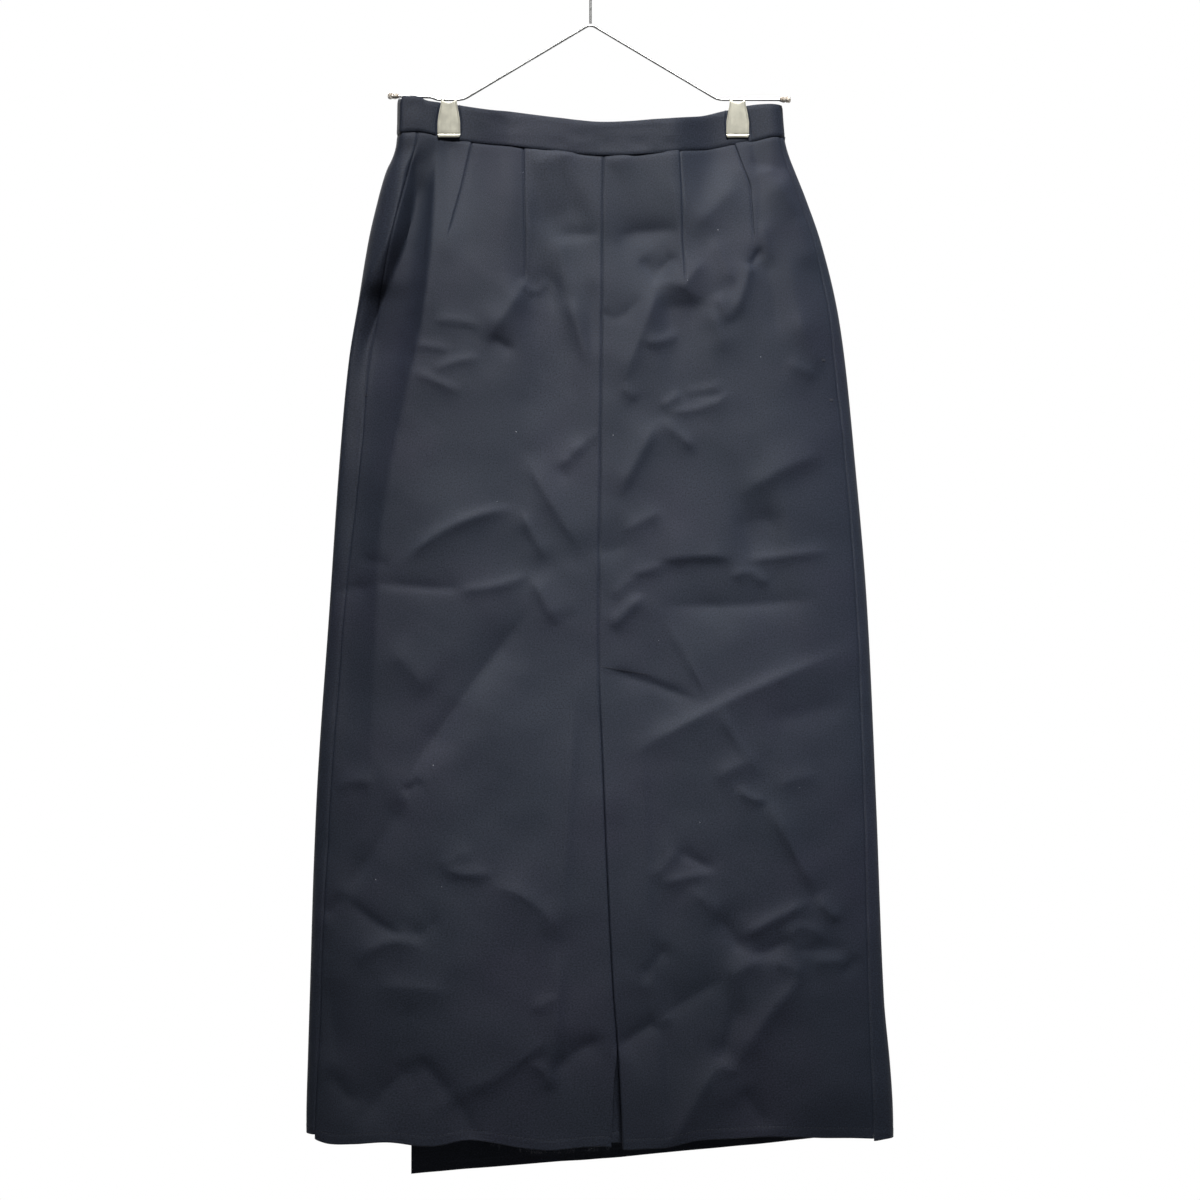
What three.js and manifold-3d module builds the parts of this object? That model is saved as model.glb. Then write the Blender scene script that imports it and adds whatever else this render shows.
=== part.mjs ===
// Long navy wrap skirt hanging by its waistband from a two-clip wire hanger.
// Millimetres, +Z up. The skirt's back faces -Y and its wrapped front faces +Y. +X is the wearer's right.
// The origin is the top of the inside of the hook, where a rail carries the hanger.
import * as THREE from "three";
import { mergeVertices } from "three/addons/utils/BufferGeometryUtils.js";
import Module from "manifold-3d";

const wasm = await Module();
wasm.setup();

// ---- Driving dimensions ----
const CLOTH = 1.2; // wall of a skirt panel
const BAND = 2; // wall of the folded, interfaced waistband
const SEAM_GAP = 0.4; // between two panels at a seam
const WAIST_GAP = 0.8; // between the waistband and a panel, measured down the seam
const PANEL_ROWS = 22; // the same for every panel, so that neighbours meet along one line
const WIRE_RADIUS = 1.2;
const ARM_LEVEL = -142.4; // height of the hanger's horizontal arms, which every drop is measured from
const APEX_LEVEL = -75.3; // top of the hanger's triangle
const ARM_BEND = 113; // where a sloping arm turns level
// Where the end caps reach. The left arm is cranked up just past its clip and climbs a little on its way out.
const LEFT_TIP = { x: -180.2, rise: 3.2, bentFrom: -136, crank: -141.5, crankRise: 2.2 };
const RIGHT_TIP = 178;
const CAP_PAST_WIRE = 3.5;
const HEM_DROP = 927.7;
const UNDER_HEM_DROP = 919.5;
const VENT_TOP_DROP = 502;
const UNDERLAP_REACH = 42; // the vent's underlap, beyond the right edge of the slit
const CLIP = { thick: 0.9, slack: 0.4, topHalf: 7.3, wideHalf: 10, wideDrop: 22, bottomDrop: 34.2 };
const CLIPS = [
  { name: "clip_left", x: -125.5, backFace: -3.5, frontFace: 3.3, baseFront: 0.9 },
  { name: "clip_right", x: 130.5, backFace: -2.3, frontFace: 2.1, baseFront: -0.3 },
];
const LAYER_LIFT = 2.4; // the outer front layer, outside the inner one
const END_LIFT = 5.4; // the same at the wrap's end of the waistband, where the hook and bar lie between

// Level sections of the skirt: left and right are its folds seen from the back, foldLeft and foldRight
// how far back those lie, back and front how far each side stands out between them.
const SECTIONS = table(
  "drop left right foldLeft foldRight back front seamLeft seamRight",
  [-6, -172.4, 170.5, 12, 8, 30, 3, -154, 169],
  [35, -173.6, 173.7, 12, 8, 30, 4, -154, 169.5],
  [49, -176.8, 177.2, 12, 8, 30, 6, -157, 172],
  [63, -182.9, 182.4, 12, 8, 31, 9, -161, 176.5],
  [89, -190.3, 192.9, 12, 9, 33, 14, -167.5, 185.5],
  [125, -198.5, 205.5, 12, 10, 35, 20, -176.5, 198],
  [178, -207.2, 218.7, 12, 10, 36, 26, -187.5, 210.5],
  [231, -215.9, 227, 12, 11, 37, 29, -197.5, 217],
  [311, -223.5, 235.2, 12, 12, 37, 30, -204.5, 225.5],
  [444, -232.8, 246.6, 12, 12, 36, 31, -218.5, 236],
  [622, -245, 255.1, 12, 12, 34, 31, -232, 243],
  [800, -250.9, 262.2, 12, 12, 32, 30, -241, 247.5],
  [860, -252.7, 267.6, 12, 12, 31, 30, -243.5, 249.5],
  [900, -253.8, 270.1, 12, 12, 30, 30, -245, 251],
  [960, -254.1, 270.7, 12, 12, 30, 30, -246, 252],
);

// The waistband's top edge and its seam to the panels, which sag between the clips.
const WAIST = table(
  "x top seam",
  [-171, -2, 29.4],
  [-153, -1.6, 28.6],
  [-146, 2, 29.4],
  [-136, 3.6, 32],
  [-125, 5, 35],
  [-108, 7.5, 37.6],
  [-80, 13, 42.1],
  [-27, 20, 49.2],
  [12, 24, 52.4],
  [62, 21, 49.8],
  [97, 16.8, 45.6],
  [115, 12, 41.8],
  [131, 8.6, 38.8],
  [145, 5.9, 36.6],
  [160, 4.8, 33],
  [172.5, 4.6, 32],
);

// The centre back seam, which opens into the vent below VENT_TOP_DROP.
const CENTRE_BACK = table(
  "drop left right",
  [40, 11.6, 11.6],
  [178, 10.2, 10.2],
  [355, 8.4, 8.4],
  [502, 7.3, 7.3],
  [586, 10.2, 10.6],
  [695, 14.6, 15.2],
  [786, 19.2, 19.9],
  [840, 23.3, 24.2],
  [862, 21.4, 25.4],
  [888, 19.8, 26.8],
  [930, 18.3, 28.4],
);

// The ridge that hangs from the left clip. Below the waistband the cloth falls away outboard of it, over
// fall and the more steeply at first, and comes out again towards the side seam, over recover.
const HOLLOW = table(
  "drop ridge depth fall recover steep",
  [-6, -136, 0, 10, 8, 2],
  [35, -136, 0.6, 10, 8, 2],
  [60, -137, 6, 19, 9, 2],
  [85, -138, 13, 18, 13, 2],
  [125, -140, 17, 24, 15, 2],
  [160, -143.5, 18, 34, 20, 2.6],
  [178, -146, 20, 40, 26, 3],
  [222, -154, 19, 48, 40, 3],
  [266, -164, 14, 46, 50, 2.5],
  [311, -174, 9, 36, 50, 2.2],
  [391, -186, 6.5, 28, 50, 2],
  [470, -190, 5, 26, 50, 2],
  [560, -194, 3.5, 26, 50, 2],
  [680, -200, 0, 26, 50, 2],
);
// The left end of the waistband is pressed flat in front of the hanger's wire, which leaves over its fold.
const PRESSED_END = { y: -4.4, front: 1.8, foldRun: 5, notch: 2.4 };

// The hem of the back, which hangs unevenly, and of the wrap, which drops towards its free corner.
const BACK_HEM = table(
  "x drop",
  ...[[-253, 920], [-245, 923.7], [-232, 926.6], [-209, 925.7], [-180, 923.4], [-150, 926]],
  ...[[-134, 925.5], [-112, 920.5], [-95, 921], [-67, 926], [-45, 928.8], [-32, 928.9], [-8, 926.3]],
  ...[[8, 925.4], [20, 926.4], [30, 928.2], [45, 927.6], [70, 926], [92, 920.8], [120, 919.2]],
  ...[[155, 917.8], [185, 918.7], [205, 920], [235, 921], [262, 923]],
);
const WRAP_HEM = table(
  "x drop",
  ...[[-162, 962.8], [-32, 953.1], [22, 949.4], [93, 942.4], [164, 934.9], [199, 930]],
  ...[[222, 927.2], [262, 923.4]],
);

// The free edges of the two front layers, as seen from the back.
const FREE_EDGES = table("drop wrap under", [28, -163, 8], [300, -162, -2], [600, -161, -18], [960, -162, -38]);

// Rows of a table as objects with named columns.
function table(columns, ...rows) {
  const names = columns.split(" ");
  return rows.map((row) => Object.fromEntries(names.map((name, i) => [name, row[i]])));
}

// A smooth curve through one column of a table, read at a value of the table's first column.
function read(rows, column, at) {
  const key = Object.keys(rows[0])[0];
  if (at <= rows[0][key]) return rows[0][column];
  const last = rows.length - 1;
  if (at >= rows[last][key]) return rows[last][column];
  let i = 0;
  while (rows[i + 1][key] < at) i++;
  const slope = (k) => {
    const a = rows[Math.max(k - 1, 0)];
    const b = rows[Math.min(k + 1, last)];
    return (b[column] - a[column]) / (b[key] - a[key]);
  };
  const span = rows[i + 1][key] - rows[i][key];
  const t = (at - rows[i][key]) / span;
  const start = rows[i][column] * (1 + 2 * t) * (1 - t) ** 2 + slope(i) * span * t * (1 - t) ** 2;
  const end = rows[i + 1][column] * t * t * (3 - 2 * t) - slope(i + 1) * span * t * t * (1 - t);
  return start + end;
}

const mix = THREE.MathUtils.lerp;
const ease = (value, low, high) => THREE.MathUtils.smoothstep(value, low, high);

// ---- The form that the cloth hangs in ----

// How much a clip holds the cloth flat at a place: 1 between its jaws, 0 well away from it.
function gripAt(clip, x, drop) {
  const beside = 1 - ease(Math.abs(x - clip.x), 11.5, 60);
  return drop < 40 ? beside : beside * Math.exp(-(((drop - 40) / 75) ** 1.4));
}

// The waistband's left end lies flat against the wire's back, its front layer just clear of the wire.
function pressEnd(x, y, drop, isBack) {
  const left = read(SECTIONS, "left", drop);
  const end = ease(x, left, left + PRESSED_END.foldRun) * (1 - ease(drop, 34, 62));
  if (isBack) return mix(y, PRESSED_END.y, end * (1 - ease(x, -142, -134)));
  return y + PRESSED_END.front * end * (1 - ease(x, -148, -140));
}

// Outer face of the cloth at a drop. The angle runs round the skirt: 0 is the left fold, PI / 2 the middle
// of the back, PI the right fold, and the front lies beyond PI and below 0. The section is squarer where
// the back of the left hip is pressed flat.
function bodyPoint(angle, drop) {
  const at = (column) => read(SECTIONS, column, drop);
  const middle = (at("left") + at("right")) / 2;
  const half = (at("right") - at("left")) / 2;
  const across = -Math.cos(angle);
  const x = middle + half * across;
  const fold = mix(at("foldLeft"), at("foldRight"), (across + 1) / 2);
  const isBack = Math.sin(angle) >= 0;
  const pressed = isBack && across < 0 ? ease(drop, 36, 60) * (1 - ease(drop, 150, 230)) : 0;
  const rise = Math.sqrt(Math.max(0, 1 - Math.abs(across) ** (2.6 + 3.4 * pressed)));
  const inner = ease(rise, 0, 0.55); // fades each local shape out at the folds
  let y = isBack ? fold - at("back") * rise : fold + at("front") * rise;
  for (const clip of CLIPS)
    y = mix(y, isBack ? clip.backFace : clip.baseFront, gripAt(clip, x, drop) * inner);
  const outboard = Math.max(0, read(HOLLOW, "ridge", drop) - x);
  const width = read(HOLLOW, "fall", drop);
  const down = 1 - (1 - Math.min(outboard / width, 1)) ** read(HOLLOW, "steep", drop);
  const outAgain = THREE.MathUtils.clamp((outboard - width) / read(HOLLOW, "recover", drop), 0, 1);
  y += read(HOLLOW, "depth", drop) * down * (1 - outAgain) ** 1.3 * inner;
  return new THREE.Vector3(x, pressEnd(x, y, drop, isBack), ARM_LEVEL - drop);
}

// The angle at which the back or the front passes a given x.
function angleAt(x, drop, side) {
  const left = read(SECTIONS, "left", drop);
  const right = read(SECTIONS, "right", drop);
  const across = THREE.MathUtils.clamp((2 * x - left - right) / (right - left), -1, 1);
  const angle = Math.acos(-across);
  return { back: angle, frontFromRight: 2 * Math.PI - angle, frontFromLeft: -angle }[side];
}

// A point on a layer: lift moves it out from the body, along the body's normal.
function layerPoint(angle, drop, lift) {
  const point = bodyPoint(angle, drop);
  if (!lift) return point;
  const step = 0.01;
  const along = bodyPoint(angle + step, drop).sub(bodyPoint(angle - step, drop));
  const down = bodyPoint(angle, drop + 1).sub(bodyPoint(angle, drop - 1));
  return point.addScaledVector(down.cross(along).normalize(), lift);
}

// The outer front layer leaves the body's surface past the right fold, and hangs freer below the waist.
function wrapLift(angle, drop) {
  const free = LAYER_LIFT + 1.8 * ease(drop, 34, 58);
  return free * ease(angle, Math.PI, Math.PI + 0.7);
}

// ---- Cloth walls ----

// A closed wall: pointAt(u, v, inward) is a point of its outer face, or of its inner face at inward = thick.
// u runs along angles and v downwards.
function wall(columns, rows, thick, pointAt) {
  const outer = [];
  const inner = [];
  for (let j = 0; j <= rows; j++)
    for (let i = 0; i <= columns; i++) {
      outer.push(pointAt(i / columns, j / rows, 0));
      inner.push(pointAt(i / columns, j / rows, thick));
    }
  const count = outer.length;
  const index = [];
  const quad = (a, b, c, d) => index.push(a, b, c, a, c, d);
  const id = (i, j) => j * (columns + 1) + i;
  for (let j = 0; j < rows; j++)
    for (let i = 0; i < columns; i++) {
      quad(id(i, j), id(i, j + 1), id(i + 1, j + 1), id(i + 1, j));
      quad(id(i, j) + count, id(i + 1, j) + count, id(i + 1, j + 1) + count, id(i, j + 1) + count);
    }
  const rim = (a, b) => quad(a, b, b + count, a + count);
  for (let i = 0; i < columns; i++) {
    rim(id(i, 0), id(i + 1, 0));
    rim(id(i + 1, rows), id(i, rows));
  }
  for (let j = 0; j < rows; j++) {
    rim(id(0, j + 1), id(0, j));
    rim(id(columns, j), id(columns, j + 1));
  }
  const geometry = new THREE.BufferGeometry();
  const values = [...outer, ...inner].flatMap((point) => point.toArray());
  geometry.setAttribute("position", new THREE.Float32BufferAttribute(values, 3));
  geometry.setIndex(index);
  return geometry;
}

// A panel between two angles that vary with the drop, from the waist seam to its hem. Its rows crowd
// towards the waist, where the form changes most.
function panel(columns, startAngle, endAngle, hemAt, liftAt = () => 0) {
  return wall(columns, PANEL_ROWS, CLOTH, (u, v, inward) => {
    let drop = mix(50, HEM_DROP, v);
    let angle = 0;
    for (let pass = 0; pass < 4; pass++) {
      angle = mix(startAngle(drop), endAngle(drop), u);
      const x = bodyPoint(angle, drop).x;
      drop = mix(read(WAIST, "seam", x) + WAIST_GAP / 2, hemAt(x), v ** 1.35);
    }
    return layerPoint(angle, drop, liftAt(angle, drop) - inward);
  });
}

const backHem = (x) => read(BACK_HEM, "drop", x);
const wrapHem = (x) => read(WRAP_HEM, "drop", x);
const underHem = () => UNDER_HEM_DROP;

function backLeft() {
  return panel(
    16,
    (drop) => angleAt(read(SECTIONS, "seamLeft", drop) + SEAM_GAP / 2, drop, "back"),
    (drop) => angleAt(read(CENTRE_BACK, "left", drop) - SEAM_GAP / 2, drop, "back"),
    backHem,
  );
}

function backRight() {
  return panel(
    16,
    (drop) => angleAt(read(CENTRE_BACK, "right", drop) + SEAM_GAP / 2, drop, "back"),
    (drop) => angleAt(read(SECTIONS, "seamRight", drop) - SEAM_GAP / 2, drop, "back"),
    backHem,
  );
}

function frontWrap() {
  return panel(
    33,
    (drop) => angleAt(read(SECTIONS, "seamRight", drop) + SEAM_GAP / 2, drop, "back"),
    (drop) => angleAt(read(FREE_EDGES, "wrap", drop), drop, "frontFromRight"),
    wrapHem,
    wrapLift,
  );
}

function frontUnder() {
  return panel(
    20,
    (drop) => angleAt(read(FREE_EDGES, "under", drop), drop, "frontFromLeft"),
    (drop) => angleAt(read(SECTIONS, "seamLeft", drop) - SEAM_GAP / 2, drop, "back"),
    underHem,
  );
}

// The strip behind the slit, sewn to the left back panel and lying under the right one.
function ventUnderlap() {
  const behind = CLOTH + 0.5;
  return wall(4, 12, CLOTH, (u, v, inward) => {
    const drop = mix(VENT_TOP_DROP + 6 * u, HEM_DROP - 3, v);
    const left = read(CENTRE_BACK, "left", drop) - 8;
    const right = read(CENTRE_BACK, "right", drop) + UNDERLAP_REACH;
    return layerPoint(angleAt(mix(left, right, u), drop, "back"), drop, -behind - inward);
  });
}

// One strip from the inner layer's end, round the left fold, the back and the right fold, to the wrap's end.
function waistband() {
  const level = 20;
  const start = angleAt(read(FREE_EDGES, "under", 28), level, "frontFromLeft");
  const end = angleAt(-167.5, level, "frontFromRight");
  return wall(208, 1, BAND, (u, v, inward) => {
    const angle = mix(start, end, u);
    const { x, y } = bodyPoint(angle, level);
    const top = read(WAIST, "top", x) + wireNotch(x, y);
    const drop = mix(top, read(WAIST, "seam", x) - WAIST_GAP / 2, v);
    return layerPoint(angle, drop, bandLift(angle) - inward);
  });
}

// How far the waistband's top edge is dented where the wire leaves over its left fold.
function wireNotch(x, y) {
  return PRESSED_END.notch * (1 - ease(x, -167.5, -165)) * (1 - ease(y, 3, 5)) * ease(y, -4.2, -3);
}

// The waistband's outer front layer stands further off near its end, where the hook and bar lie under it.
function bandLift(angle) {
  const toEnd = ease(angle, 2 * Math.PI - 0.64, 2 * Math.PI - 0.42);
  return wrapLift(angle, 0) + (END_LIFT - LAYER_LIFT) * toEnd;
}

// ---- Hook and bar that fasten the wrap's end of the waistband ----

// A small plate lying along the waistband at an angle and drop, its middle lifted off the inner layer.
function fastenerPlate(name, material, length, height, thick, lift) {
  const angle = 2 * Math.PI - 0.36;
  const drop = 15;
  const middle = layerPoint(angle, drop, lift);
  const out = layerPoint(angle, drop, lift + 1).sub(middle).setZ(0).normalize();
  const mesh = named(name, new THREE.BoxGeometry(length, thick, height), material);
  mesh.position.copy(middle);
  mesh.rotation.z = Math.atan2(out.y, out.x) - Math.PI / 2;
  return mesh;
}

// ---- Hanger ----

function tubeAlong(path, steps) {
  const section = new THREE.Shape().absarc(0, 0, WIRE_RADIUS, 0, 2 * Math.PI);
  return new THREE.ExtrudeGeometry(section, { steps, curveSegments: 8, extrudePath: path });
}

const flat = (x, z) => new THREE.Vector3(x, 0, z);

// One wire: left arm, slope up to the apex, slope down, right arm, with a rounded bend at each turn.
function hangerWire() {
  const corners = [
    flat(LEFT_TIP.x + CAP_PAST_WIRE, ARM_LEVEL + LEFT_TIP.rise),
    flat(LEFT_TIP.crank, ARM_LEVEL + LEFT_TIP.crankRise),
    flat(LEFT_TIP.bentFrom, ARM_LEVEL),
    flat(-ARM_BEND, ARM_LEVEL),
    flat(0, APEX_LEVEL),
    flat(ARM_BEND, ARM_LEVEL),
    flat(RIGHT_TIP - CAP_PAST_WIRE, ARM_LEVEL),
  ];
  const bend = 5; // how far from a corner the wire starts to turn, where there is room
  const path = new THREE.CurvePath();
  let from = corners[0];
  for (let i = 1; i < corners.length - 1; i++) {
    const corner = corners[i];
    const room = Math.min(corner.distanceTo(corners[i - 1]), corner.distanceTo(corners[i + 1]));
    const reach = Math.min(bend, 0.4 * room);
    const enter = corner.clone().add(corners[i - 1].clone().sub(corner).setLength(reach));
    const leave = corner.clone().add(corners[i + 1].clone().sub(corner).setLength(reach));
    path.add(new THREE.LineCurve3(from, enter));
    path.add(new THREE.QuadraticBezierCurve3(enter, corner, leave));
    from = leave;
  }
  path.add(new THREE.LineCurve3(from, corners.at(-1)));
  return tubeAlong(path, 110);
}

// The hook: a shank standing on the apex, a short bend to the right and a bow over the rail.
class HookPath extends THREE.Curve {
  getPoint(t) {
    const bow = 22 + WIRE_RADIUS; // radius of the bow's centreline, whose inside top is the origin
    const neck = 12;
    const turn = THREE.MathUtils.degToRad(70);
    const sweep = THREE.MathUtils.degToRad(270);
    const neckStart = -22 - bow * Math.sin(turn) - neck * Math.sin(turn);
    const neckEnd = neck * (1 - Math.cos(turn));
    const shank = neckStart - SHANK_FOOT;
    const lengths = [shank, neck * turn, bow * sweep];
    let way = t * (lengths[0] + lengths[1] + lengths[2]);
    if (way <= lengths[0]) return flat(0, SHANK_FOOT + way);
    way -= lengths[0];
    if (way <= lengths[1]) {
      const a = way / neck;
      return flat(neck * (1 - Math.cos(a)), neckStart + neck * Math.sin(a));
    }
    const a = -turn + (way - lengths[1]) / bow;
    return flat(neckEnd - bow * Math.cos(turn) + bow * Math.cos(a), -22 + bow * Math.sin(a));
  }
}
// The apex is rounded, so its top lies a little below the corner; the shank stands just clear of it.
const SHANK_FOOT = APEX_LEVEL + 0.5;

// A soft cap over an end of the wire, turned about the wire's axis, its tip at a place and heading.
function endCap(x, z, heading) {
  const bore = WIRE_RADIUS + 0.3;
  const profile = [
    [bore, -10],
    [1.9, -10],
    [2.1, -7],
    [2.6, -5],
    [2.6, -2.4],
    [2, -0.5],
    [0, 0],
    [0, -3],
    [bore, -3],
    [bore, -10],
  ].map(([radius, along]) => new THREE.Vector2(radius, along));
  const geometry = new THREE.LatheGeometry(profile, 14);
  return geometry.rotateZ(-Math.PI / 2).rotateY(-heading).translate(x, 0, z);
}

function leftCap() {
  const run = LEFT_TIP.crank - LEFT_TIP.x - CAP_PAST_WIRE;
  const slope = Math.atan2(LEFT_TIP.rise - LEFT_TIP.crankRise, run);
  return endCap(LEFT_TIP.x, ARM_LEVEL + LEFT_TIP.rise + CAP_PAST_WIRE * Math.tan(slope), Math.PI - slope);
}

// ---- Clips ----

function solid(geometry) {
  const bare = geometry.index ? geometry.toNonIndexed() : geometry.clone();
  bare.deleteAttribute("normal");
  bare.deleteAttribute("uv");
  const merged = mergeVertices(bare, 1e-4);
  const vertProperties = merged.attributes.position.array;
  const triVerts = new Uint32Array(merged.index.array);
  return new wasm.Manifold(new wasm.Mesh({ numProp: 3, vertProperties, triVerts }));
}

function geometryOf(manifold) {
  const mesh = manifold.getMesh();
  const geometry = new THREE.BufferGeometry();
  geometry.setAttribute("position", new THREE.BufferAttribute(mesh.vertProperties, 3));
  geometry.setIndex(new THREE.BufferAttribute(mesh.triVerts, 1));
  return geometry;
}

// Side view of one leg of a clip from the wire down to its jaw: distance from the wire's plane to the
// leg's cloth side, and drop. The last stretch is a folded lip, thicker than the leg.
function legProfile(jaw) {
  const { thick, bottomDrop } = CLIP;
  const shoulder = jaw + 0.5;
  return {
    inside: [
      [shoulder, 4.4],
      [shoulder, 12],
      [jaw, 30],
      [jaw, bottomDrop],
    ],
    outside: [
      [jaw + thick + 0.35, bottomDrop],
      [jaw + thick + 0.35, 31.8],
      [jaw + thick - 0.25, 31.5],
      [jaw + thick - 0.25, 31],
      [jaw + thick, 30.7],
      [shoulder + thick, 12],
      [shoulder + thick, 3.6],
    ],
  };
}

// A spring-steel sheet folded over the wire, cut to a waisted plate with a hollow between two straps.
function clipGeometry(clip) {
  const { thick, slack, topHalf, wideHalf, wideDrop, bottomDrop } = CLIP;
  const back = legProfile(-clip.backFace + slack);
  const front = legProfile(clip.frontFace + slack);
  const hole = WIRE_RADIUS + slack;
  const crown = hole + thick;
  const arc = (radius, from, to) =>
    Array.from({ length: 9 }, (_, k) => {
      const a = THREE.MathUtils.degToRad(mix(from, to, k / 8));
      return [radius * Math.cos(a), -radius * Math.sin(a)];
    });
  const outline = [
    ...arc(crown, 180, 0),
    ...[...front.outside].reverse(),
    ...[...front.inside].reverse(),
    ...arc(hole, 0, 180),
    ...back.inside.map(([y, drop]) => [-y, drop]),
    ...back.outside.map(([y, drop]) => [-y, drop]),
  ];
  const side = new THREE.Shape(outline.map(([y, drop]) => new THREE.Vector2(y, -drop)));
  const folded = new THREE.ExtrudeGeometry(side, { depth: 2 * wideHalf, bevelEnabled: false });
  folded.translate(0, 0, -wideHalf);
  folded.rotateY(Math.PI / 2).rotateX(Math.PI / 2);
  const plate = new THREE.Shape();
  plate.moveTo(-topHalf, crown + 1);
  plate.lineTo(-topHalf, -6);
  plate.lineTo(-wideHalf, -wideDrop);
  plate.lineTo(-wideHalf + 0.3, -bottomDrop - 1);
  plate.lineTo(wideHalf - 0.3, -bottomDrop - 1);
  plate.lineTo(wideHalf, -wideDrop);
  plate.lineTo(topHalf, -6);
  plate.lineTo(topHalf, crown + 1);
  plate.lineTo(4.8, crown + 1);
  plate.lineTo(4.8, 1);
  plate.quadraticCurveTo(4.2, -2.6, 0, -2.6);
  plate.quadraticCurveTo(-4.2, -2.6, -4.8, 1);
  plate.lineTo(-4.8, crown + 1);
  const cutter = new THREE.ExtrudeGeometry(plate, { depth: 24, bevelEnabled: false, curveSegments: 6 });
  cutter.translate(0, 0, -12);
  cutter.rotateX(Math.PI / 2);
  return geometryOf(solid(folded).intersect(solid(cutter)));
}

// ---- Materials and the finished group ----

const cloth = (color) => new THREE.MeshStandardMaterial({ color, roughness: 0.85, metalness: 0 });
const navy = cloth(0x2b2e3b);
const navyBand = cloth(0x2a2a36);
const steel = new THREE.MeshStandardMaterial({ color: 0xb9b9b4, roughness: 0.3, metalness: 1 });
const nickel = new THREE.MeshStandardMaterial({ color: 0xc4c3b4, roughness: 0.35, metalness: 1 });
const vinyl = new THREE.MeshStandardMaterial({ color: 0xd8d0c4, roughness: 0.35, metalness: 0 });

function named(name, geometry, material) {
  const mesh = new THREE.Mesh(geometry, material);
  mesh.name = name;
  return mesh;
}

const skirt = new THREE.Group();
skirt.add(
  named("back_left_panel", backLeft(), navy),
  named("back_right_panel", backRight(), navy),
  named("vent_underlap", ventUnderlap(), navy),
  named("front_wrap_panel", frontWrap(), navy),
  named("front_under_panel", frontUnder(), navy),
  named("waistband", waistband(), navyBand),
  fastenerPlate("waist_bar", nickel, 7, 7, 0.8, 0.9),
  fastenerPlate("waist_hook", nickel, 7, 9, 0.8, 2.2),
);

const hanger = new THREE.Group();
hanger.add(
  named("hanger_wire", hangerWire(), steel),
  named("hanger_hook", tubeAlong(new HookPath(), 40), steel),
  named("cap_left", leftCap(), vinyl),
  named("cap_right", endCap(RIGHT_TIP, ARM_LEVEL, 0), vinyl),
);
for (const clip of CLIPS) {
  const mesh = named(clip.name, clipGeometry(clip), nickel);
  mesh.position.set(clip.x, 0, ARM_LEVEL);
  hanger.add(mesh);
}

const part = new THREE.Group();
part.add(skirt, hanger);
export default part;
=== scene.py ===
"""Long navy wrap skirt, seen from its back, hanging by its waistband from a two-clip wire hanger.

The cloth is laid over the same level sections as the CAD model, then given its darts, seams and creases.
Sizes are in millimetres until the meshes are made, and the camera and lamps are placed in metres. A drop is
measured down from the level of the hanger's bar. Left and right are as seen from the camera.
"""

import math

import bpy
import numpy as np
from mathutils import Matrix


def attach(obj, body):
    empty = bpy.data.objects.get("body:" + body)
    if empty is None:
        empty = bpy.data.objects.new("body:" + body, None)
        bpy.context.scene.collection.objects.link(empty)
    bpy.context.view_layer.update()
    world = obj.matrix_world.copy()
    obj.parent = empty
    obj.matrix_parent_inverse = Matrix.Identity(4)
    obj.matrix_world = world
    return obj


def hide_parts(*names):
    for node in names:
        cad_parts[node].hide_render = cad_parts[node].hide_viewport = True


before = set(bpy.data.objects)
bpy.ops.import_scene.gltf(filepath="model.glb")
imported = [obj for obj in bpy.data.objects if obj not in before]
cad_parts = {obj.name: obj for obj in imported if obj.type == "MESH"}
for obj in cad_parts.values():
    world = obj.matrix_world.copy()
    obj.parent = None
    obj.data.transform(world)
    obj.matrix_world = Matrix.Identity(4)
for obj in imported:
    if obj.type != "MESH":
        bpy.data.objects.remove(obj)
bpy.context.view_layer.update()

MM = 0.001
ARM_LEVEL = -142.4
APEX_LEVEL = -75.3
HEM_DROP = 927.7
UNDER_HEM_DROP = 919.5
VENT_TOP_DROP = 502.0
HEM_STITCH = 8.6
# Thicknesses, and how far the wrap panel and the waistband's end stand off what lies under them.
CLOTH = 1.2
UNDERLAP_CLOTH = 0.9
BAND = 2.0
BAND_HEIGHT = 35.0
SEAM_GAP = 0.06
LAYER_LIFT = 2.4
END_LIFT = 5.4
WIRE_RADIUS = 1.2
# Where the hanger's end caps reach; the left arm is bent up a little on its way out.
LEFT_TIP = {"x": -180.2, "rise": 3.2, "bent_from": -136.0, "crank": -141.5, "crank_rise": 2.2}
RIGHT_TIP = 178.0
CLIPS = (
    {"name": "clip_left", "x": -125.5, "back_face": -3.5, "front_face": 3.3, "base_front": 0.9},
    {"name": "clip_right", "x": 130.5, "back_face": -2.3, "front_face": 2.1, "base_front": -0.3},
)
# A clip's sheet metal, and how far the middles of its legs and of its straps stand off the cloth's faces.
CLIP_SHEET = 0.7
LEG_STAND = 0.85
STRAP_STAND = 0.95


def table(columns, *rows):
    """Rows of numbers as named columns."""
    return dict(zip(columns.split(), np.array(rows, float).T))


# ---- The form: the same level sections as the CAD model ----

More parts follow.
